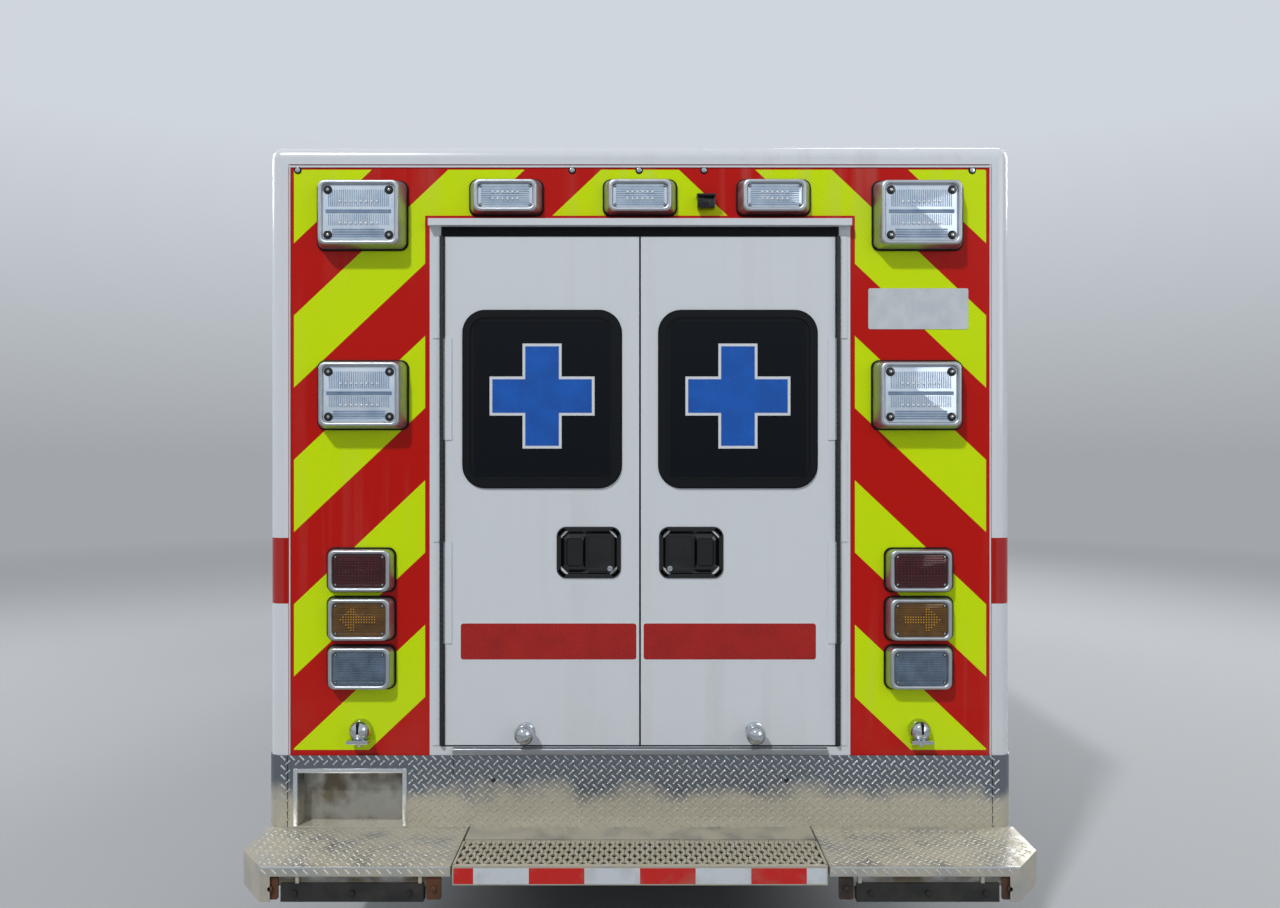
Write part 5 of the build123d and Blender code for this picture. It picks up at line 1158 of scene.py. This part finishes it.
def dress_side_leaf(body, side, rear, front, high):
    """The seals, latch, lock, hinge lines and drip rail of one side leaf."""
    low = side_leaf_low
    gap = side_leaf_gap
    outside = side * (side_wall_x - 0.002)
    inside = side * (side_wall_x - 0.030)
    seals = [block((outside, rear, low), (inside, rear + gap, high)),
             block((outside, front - gap, low), (inside, front, high)),
             block((outside, rear, high - gap), (inside, front, high)),
             block((outside, rear, low), (inside, front, low + gap))]
    dress(join(seals), body + "_seal", "vehicle", seal_rubber_and_shade)
    middle = on_side(side, rear + 0.125, min(1.180, high - 0.125))
    latch = block((-0.083, -0.063, -0.012), (0.083, 0.063, 0.004), 2, 0.022, 8)
    latch = soften(hollowed(latch, 0.013, 0.003), 0.0015)
    paddle = block((-0.056, -0.036, 0), (0.056, 0.036, 0.0085), 2, 0.010, 6)
    paddle = soften(hollowed(paddle, 0.008, 0.0014), 0.0015)
    dress(repeat(join([latch, paddle]), [middle]), body + "_latch", body, black_gloss_and_shade)
    lock = repeat(disc(0.009, 0.002, 0.0105, 20, 0.001), [middle @ shift(0.064 * side, -0.046, 0)])
    dress(lock, body + "_lock", body, chrome)
    # Dark rings painted as the shade in the hinge's knuckle gaps
    grooves = knuckle_lines(0.0067, low + 0.015, int((high - low - 0.02) / knuckle_pitch),
                            (side * side_pin_x, front - 0.0025))
    dress(grooves, body + "_hinge_lines", "vehicle", black_gloss_and_shade)
    rail = block((side * (side_wall_x - 0.003), rear - 0.03, high + 0.012),
                 (side * (side_wall_x + 0.017), front + 0.03, high + 0.022), 1, 0.004, 3)
    dress(rail, body + "_drip_rail", "vehicle", side_enamel)


for body, opening in side_leaves.items():
    dress_side_leaf(body, *opening)


def window_frame(wide, tall, place):
    """A black frame with rounded corners, round dark glass."""
    ring = block((-wide / 2, -tall / 2, 0), (wide / 2, tall / 2, 0.010), 2, 0.052, 10)
    return repeat(soften(hollowed(ring, 0.026, 0.004), 0.002), [place])


# Frames of the box's side windows and of the crew door's window
for name, side, middle_y, wide, tall in (("left", -1, -0.225, 0.706, 0.466),
                                         ("right", 1, -1.285, 0.786, 0.466)):
    dress(window_frame(wide, tall, on_side(side, middle_y, window_z)), "box_window_frame_" + name, "vehicle",
          black_gloss_and_shade)
dress(window_frame(0.444, 0.564, on_side(1, 0.030, window_z)), "crew_window_frame", "side_door", black_gloss_and_shade)

# Skirt rails, wheel arch trims and front corner guards of the box
skirt_spans = [(-1, -3.120, -1.700), (-1, -0.700, 1.035), (1, -3.120, -1.700), (1, -0.700, -0.390),
               (1, 0.450, 1.035)]
skirts = [block((side * side_wall_x, rear, 0.443), (side * (side_wall_x + 0.008), front, 0.472), 1, 0.003, 3)
          for side, rear, front in skirt_spans]
dress(join(skirts), "skirt_rails", "vehicle", polished_bar_and_highlight)


def arch_trim(radius, low, high, band, cut_z, place):
    """A rolled trim over a wheel arch: a ring about X, cut off below a height."""
    ring = turned([(low, radius), (high - 0.006, radius), (high, radius + 0.006),
                   (high, radius + band - 0.01), (high - 0.01, radius + band), (low, radius + band),
                   (low, radius)], 0, 96)
    ring = repeat(ring, [place])
    activate(ring)
    bpy.ops.object.mode_set(mode="EDIT")
    bpy.ops.mesh.select_all(action="SELECT")
    bpy.ops.mesh.bisect(plane_co=(0, 0, cut_z), plane_no=(0, 0, 1), clear_inner=True, use_fill=True)
    bpy.ops.object.mode_set(mode="OBJECT")
    return ring


flares = []
for side in (-1, 1):
    arch_place = shift(0, rear_axle_y, tyre_radius) @ Matrix.Diagonal((side, 1, 1, 1))
    flares.append(arch_trim(0.434, 1.2185, 1.252, 0.036, 0.442, arch_place))
dress(join(flares), "rear_arch_trims", "vehicle", polished_bar_and_highlight)
guard_low = 0.470
guard_high = 1.150
guards = [block((side * 1.030, front_wall_y, guard_low), (side * 1.216, front_wall_y + 0.003, guard_high))
          for side in (-1, 1)]
dress(join(guards), "stone_guards", "vehicle", tread_plate)
guard_faces = [on_front(side * 1.123, (guard_low + guard_high) / 2, front_wall_y + 0.003) for side in (-1, 1)]
tread_bars([(face, 0.180, guard_high - guard_low) for face in guard_faces], "stone_guard_bars", "vehicle",
           polished_bar_and_highlight)
markers = [on_side(side, 0.930, 2.672) for side in (-1, 1)]
markers += [on_front(x, 2.700) for x in (-1.10, -0.12, 0, 0.12, 1.10)]
marker = block((-0.050, -0.016, 0), (0.050, 0.016, 0.018), 2, 0.008, 4, 0.004)
dress(repeat(marker, markers), "amber_marker_lamps", "vehicle", amber_lens)

# Cab: gaskets cut from the glass outlines, mirrors, door pulls, lamps, wipers and a blank plate


def glass_border(node, out, band, thick):
    """A thin border round a pane: its outer face copied, inset, opened and thickened."""
    piece = bpy.data.objects.new("border", nodes[node].data.copy())
    bpy.context.collection.objects.link(piece)
    activate(piece)
    bpy.ops.object.mode_set(mode="EDIT")
    bpy.ops.mesh.select_all(action="SELECT")
    bpy.ops.mesh.remove_doubles(threshold=0.0001)
    facing_out = Vector(out)
    pick("faces", lambda face: face.normal.dot(facing_out) < 0.5)
    bpy.ops.mesh.delete(type="FACE")
    bpy.ops.mesh.select_all(action="SELECT")
    bpy.ops.mesh.inset(thickness=band, use_boundary=True)
    bpy.ops.mesh.delete(type="FACE")
    bpy.ops.object.mode_set(mode="OBJECT")
    return modify(piece, "SOLIDIFY", thickness=thick, offset=1)


dress(glass_border("windscreen", (0, 0.676, 0.737), 0.024, 0.006), "windscreen_gasket", "vehicle",
      seal_rubber_and_shade)


def dress_cab_door(word, side):
    """The window gasket, mirror glass, pull and rub strip of one cab door."""
    door = "cab_door_" + word
    dress(glass_border("cab_window_" + word, (side, 0, 0.2), 0.018, 0.006), "cab_window_gasket_" + word, door,
          seal_rubber_and_shade)
    mirror = [block((-0.092, -0.030, 0), (0.092, 0.180, 0.004), 2, 0.020, 6),
              block((-0.092, -0.180, 0), (0.092, -0.042, 0.005), 2, 0.020, 6)]
    dress(repeat(join(mirror), [facing((side * 1.200, 2.105, 1.590), (0, -1, 0))]), "mirror_glass_" + word,
          door, mirror_glass)
    cup = hollowed(block((-0.075, -0.032, -0.002), (0.075, 0.032, 0.004), 2, 0.024, 8), 0.010, 0.003)
    pull = block((-0.062, -0.010, 0.012), (0.062, 0.012, 0.028), 2, 0.006, 4, 0.004)
    posts = [block((x - 0.008, -0.008, 0), (x + 0.008, 0.008, 0.016)) for x in (-0.052, 0.052)]
    dress(repeat(join([cup, pull] + posts), [facing((side * 1.008, 1.290, 1.185), (side, 0, 0))]),
          "cab_door_pull_" + word, door, black_gloss_and_shade)
    rub = block((side * 1.004, 1.180, 0.830), (side * 1.018, 2.280, 0.875), 1, 0.005, 3)
    dress(rub, "cab_door_rub_strip_" + word, door, black_plastic)


def dress_headlamp(word, side):
    """The surround of one head lamp, its twin bowls and lenses, and the turn lamp below them."""
    nose_out = Vector((side * 0.106, 0.994, 0)).normalized()
    lamp_face = facing((side * 0.710, 3.4185, 0.888), nose_out)
    surround_ring = block((-0.172, -0.118, -0.010), (0.172, 0.118, 0.008), 2, 0.014, 6)
    surround_ring = repeat(soften(hollowed(surround_ring, 0.014, 0.010), 0.002), [lamp_face])
    dress(surround_ring, "headlamp_surround_" + word, "vehicle", chrome)
    bowl = turned([(0.014, 0.076), (0.016, 0.070), (0.012, 0.066), (-0.004, 0.030), (-0.004, 0.0001)], 2, 40)
    bowls = [lamp_face @ shift(x, 0.018, 0) for x in (-0.080, 0.080)]
    dress(repeat(bowl, bowls), "headlamp_bowls_" + word, "vehicle", chrome)
    dome = turned([(0.009, 0.064), (0.015, 0.050), (0.019, 0.028), (0.020, 0.0001)], 2, 40)
    dress(repeat(dome, bowls), "headlamp_lenses_" + word, "vehicle", lamp_glass)
    turn_lamp = block((-0.150, -0.100, 0), (0.150, -0.068, 0.012), 2, 0.008, 4, 0.003)
    dress(repeat(turn_lamp, [lamp_face]), "front_turn_lamp_" + word, "vehicle", amber_lens)


for word, side in hands:
    dress_cab_door(word, side)
    dress_headlamp(word, side)

# Wipers, parked on the glass
glass_up = Vector((0, -0.737, 0.676))
glass_out = Vector((0, 0.676, 0.737))


def add_wiper(word, x, park):
    """A wiper's boss, arm, blade and rubber; park is how far along the glass its boss stands."""
    base_place = shift(x, 2.505, 1.432) @ Matrix(((-1, 0, 0), glass_up, glass_out)).transposed().to_4x4()
    boss = disc(0.018, 0, 0.030, 20, 0.003)
    arm = block((-0.007, -0.006, 0.022), (0.430, 0.006, 0.030), 2, 0.004, 2)
    blade = block((0.100, -0.020, 0.010), (0.620, -0.012, 0.024), 2, 0.003, 2)
    rubber = block((0.105, -0.018, 0.002), (0.615, -0.014, 0.012))
    tilt = Matrix.Rotation(math.radians(9), 4, "Z")
    wiper = repeat(join([boss, arm, blade, rubber]), [base_place @ shift(park, 0, 0) @ tilt])
    dress(wiper, "wiper_" + word, "vehicle", black_plastic)


add_wiper("left", -0.360, -0.160)
add_wiper("right", 0.420, -0.220)

front_plate = block((-0.152, -0.076, 0), (0.152, 0.076, 0.002), 2, 0.010, 4)
dress(repeat(front_plate, [on_front(0, 0.580, 3.566)]), "blank_front_plate", "vehicle", pale_film)
bumper_strip = block((-0.42, 3.556, 0.640), (0.42, 3.569, 0.662), 0, 0.004, 3)
dress(bumper_strip, "front_bumper_rub_strip", "vehicle", black_plastic)

# Hub caps and valves
for word, (body, place, hub_reach) in rim_faces.items():
    hub = turned([(0.0, 0.062), (hub_reach * 0.5, 0.060), (hub_reach * 0.8, 0.050), (hub_reach, 0.030),
                  (hub_reach, 0.0001)], 2, 32)
    dress(repeat(hub, [place]), "hub_cap_" + word, body, chrome)
    valve = disc(0.004, 0, 0.038, 10, 0.001)
    dress(repeat(valve, [place @ shift(0.150, 0.020, -0.006)]), "valve_" + word, body, seal_rubber_and_shade)

# Padded pieces: panels raised between sewn channels, then rounded


def pad(wide, tall, thick, channels, crown):
    """A cushion lying on Z, with its top in panels along Y, each crowned and set off by a sewn line."""
    piece = block((-wide / 2, -tall / 2, 0), (wide / 2, tall / 2, thick), 2, min(wide, tall) * 0.12, 3)
    bpy.ops.object.mode_set(mode="EDIT")
    for line in range(1, channels):
        bpy.ops.mesh.select_all(action="SELECT")
        bpy.ops.mesh.bisect(plane_co=(0, -tall / 2 + tall * line / channels, 0), plane_no=(0, 1, 0))
    pick("faces", lambda face: face.normal.z > 0.9)
    bpy.ops.mesh.inset(thickness=0.010, use_individual=True)
    bpy.ops.mesh.inset(thickness=0.028, depth=crown, use_individual=True)
    bpy.ops.object.mode_set(mode="OBJECT")
    return modify(piece, "SUBSURF", levels=3)


lean = Matrix(((-1, 0, 0), (0, -0.155, 0.988), (0, 0.988, 0.155))).transposed().to_4x4()
seat_x = 0.480


def add_seat(word, x):
    """One cab seat: its padded cushion, back and head rest, and its base."""
    seat_pads = {"cushion": (pad(0.480, 0.500, 0.110, 4, 0.022), shift(x, 1.585, 0.878)),
                 "back": (pad(0.470, 0.600, 0.100, 5, 0.020), shift(x, 1.295, 1.285) @ lean),
                 "headrest": (pad(0.270, 0.170, 0.080, 1, 0.016), shift(x, 1.210, 1.655) @ lean)}
    for name, (piece, place) in seat_pads.items():
        cushion = dress(repeat(piece, [place]), "seat_%s_%s" % (name, word), "vehicle", vinyl,
                        80)
        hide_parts("cab_seats")
    base = join([block((x - 0.220, 1.350, 0.640), (x + 0.220, 1.760, 0.830), 2, 0.030, 4, 0.004),
                 block((x - 0.235, 1.340, 0.830), (x + 0.235, 1.830, 0.882), 2, 0.040, 6, 0.006),
                 block((x + 0.236, 1.330, 0.850), (x + 0.262, 1.640, 0.930), 0, 0.020, 5, 0.004)])
    dress(base, "seat_base_" + word, "vehicle", black_plastic)
    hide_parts("cab_seats")


for word, side in hands:
    add_seat(word, side * seat_x)

bench = {"bench_cushion": (pad(0.540, 1.380, 0.070, 3, 0.014), shift(0.880, -1.155, 1.228)),
         "bench_back": (pad(1.360, 0.340, 0.055, 1, 0.012), facing((1.166, -1.155, 1.560), (-1, 0, 0)))}
for name, (piece, place) in bench.items():
    cushion = dress(repeat(piece, [place]), name, "vehicle", vinyl, 80)

# Patient cabin: cabinet fronts with pulls, ceiling lamps, and the grab rail
fronts = []
pulls = []
screens = []
bay_width = 0.392
for column in range(3):
    low_y = -1.870 + column * bay_width
    high_y = low_y + bay_width - 0.006
    fronts.append(block((-0.749, low_y + 0.004, 0.860), (-0.741, high_y, 1.292), 0, 0.006, 3, 0.001))
    screens.append(block((-0.809, low_y + 0.004, 1.910), (-0.803, high_y, 2.590), 0, 0.006, 3))
    pulls.append(block((-0.741, low_y + 0.300, 1.190), (-0.722, low_y + 0.370, 1.215), 0, 0.005, 4, 0.003))
    pulls.append(block((-0.803, low_y + 0.340, 2.180), (-0.790, low_y + 0.356, 2.320), 0, 0.005, 4, 0.002))
dress(join(fronts), "cabinet_fronts", "vehicle", laminate)
dress(join(screens), "cabinet_screens", "vehicle", clear_glass)
dress(join(pulls), "cabinet_pulls", "vehicle", chrome)
ceiling = [block((x - 0.150, y - 0.300, 2.700), (x + 0.150, y + 0.300, 2.716), 2, 0.020, 5, 0.003)
           for x in (-0.450, 0.450) for y in (-2.500, -1.300, -0.100)]
ceiling_light = plastic("lit_ceiling_diffuser", "#F2F4F6", 0.3, 0.4, 20, 0.0, Emission_Strength=5.0)
ceiling_light.node_tree.nodes["Principled BSDF"].inputs["Emission Color"].default_value = linear("#F6F2E8")
dress(join(ceiling), "ceiling_lamps", "vehicle", ceiling_light)
rail_place = shift(0, -1.300, 2.630) @ Matrix.Rotation(math.radians(90), 4, "X")
rail = repeat(disc(0.016, -1.300, 1.300, 20), [rail_place])
brackets = [disc(0.010, 2.630, 2.716, 12, at=(0, y)) for y in (-2.550, -1.300, -0.050)]
dress(join([rail] + brackets), "ceiling_rail", "vehicle", chrome)

# Studio: a pale floor that fades into the backdrop, the backdrop, soft lamps and the camera
bpy.ops.mesh.primitive_plane_add(size=400)
floor = bpy.context.object
floor.name = "studio_floor"
floor_finish, floor_tree, floor_shader, floor_where = start("studio_floor", "#A3A6A9", 0.8)
floor_rays = step(floor_tree, "LightPath").outputs
floor_seen = counted(floor_tree, "MAXIMUM", floor_rays["Is Camera Ray"], floor_rays["Is Glossy Ray"])
away = step(floor_tree, "VectorMath", {0: floor_where}, operation="LENGTH").outputs["Value"]
fade = counted(floor_tree, "MULTIPLY", floor_seen, ranged(floor_tree, away, 5.5, 16))
horizon = step(floor_tree, "Emission", {"Color": linear(horizon_tone)}).outputs[0]
floor_mix = step(floor_tree, "MixShader", {0: fade, 1: floor_shader.outputs[0], 2: horizon}).outputs[0]
floor_tree.links.new(floor_mix, floor_tree.nodes["Material Output"].inputs["Surface"])
floor.data.materials.append(floor_finish)

world = bpy.data.worlds.new("studio_world")
bpy.context.scene.world = world
world.use_nodes = True
sky = world.node_tree
background = sky.nodes["Background"]
rays = step(sky, "LightPath").outputs
seen = counted(sky, "MAXIMUM", rays["Is Camera Ray"], rays["Is Glossy Ray"])
seen = counted(sky, "MAXIMUM", seen, rays["Is Transmission Ray"])
# The backdrop pales from the floor's tone at the horizon to a light grey above; lamps do most of the lighting
height = step(sky, "SeparateXYZ", {"Vector": step(sky, "TexCoord").outputs["Generated"]}).outputs["Z"]
backdrop = blended(sky, ranged(sky, height, 0.0, 0.30), horizon_tone, "#D0D6DD")
sky.links.new(blended(sky, seen, "#E8ECF0", backdrop), background.inputs["Color"])
sky.links.new(ranged(sky, seen, 0, 1, 0.34, 1.0), background.inputs["Strength"])


def lamp(name, place, target, size, power):
    """A square soft box that faces a point."""
    bpy.ops.object.light_add(type="AREA", location=place)
    light = bpy.context.object
    light.name = name
    light.data.size = size
    light.data.energy = power
    light.rotation_euler = (Vector(target) - Vector(place)).to_track_quat("-Z", "Y").to_euler()


lamp("key_lamp", (-7.9, -17.2, 19.4), (0, -3, 1.2), 1.3, 3450)
lamp("fill_lamp", (5.5, -8.5, 4.0), (0, -3, 1.2), 4, 80)
lamp("far_lamp", (4.5, 9.0, 7.5), (0, 2.5, 1.0), 4, 520)
lamp("left_lamp", (-9.0, 0.5, 6.5), (-1, 0.5, 1.2), 4, 420)
lamp("right_lamp", (9.0, 0.5, 6.5), (1, 0.5, 1.2), 4, 420)

# The camera stands square on to the tail, 1.75 m above the road
bpy.ops.object.camera_add(location=(0, -6.405, 1.75), rotation=(math.radians(90), 0, 0))
camera = bpy.context.object
camera.data.lens = 27.0
camera.data.sensor_width = 36
bpy.context.scene.camera = camera
bpy.context.scene.view_settings.view_transform = "Standard"
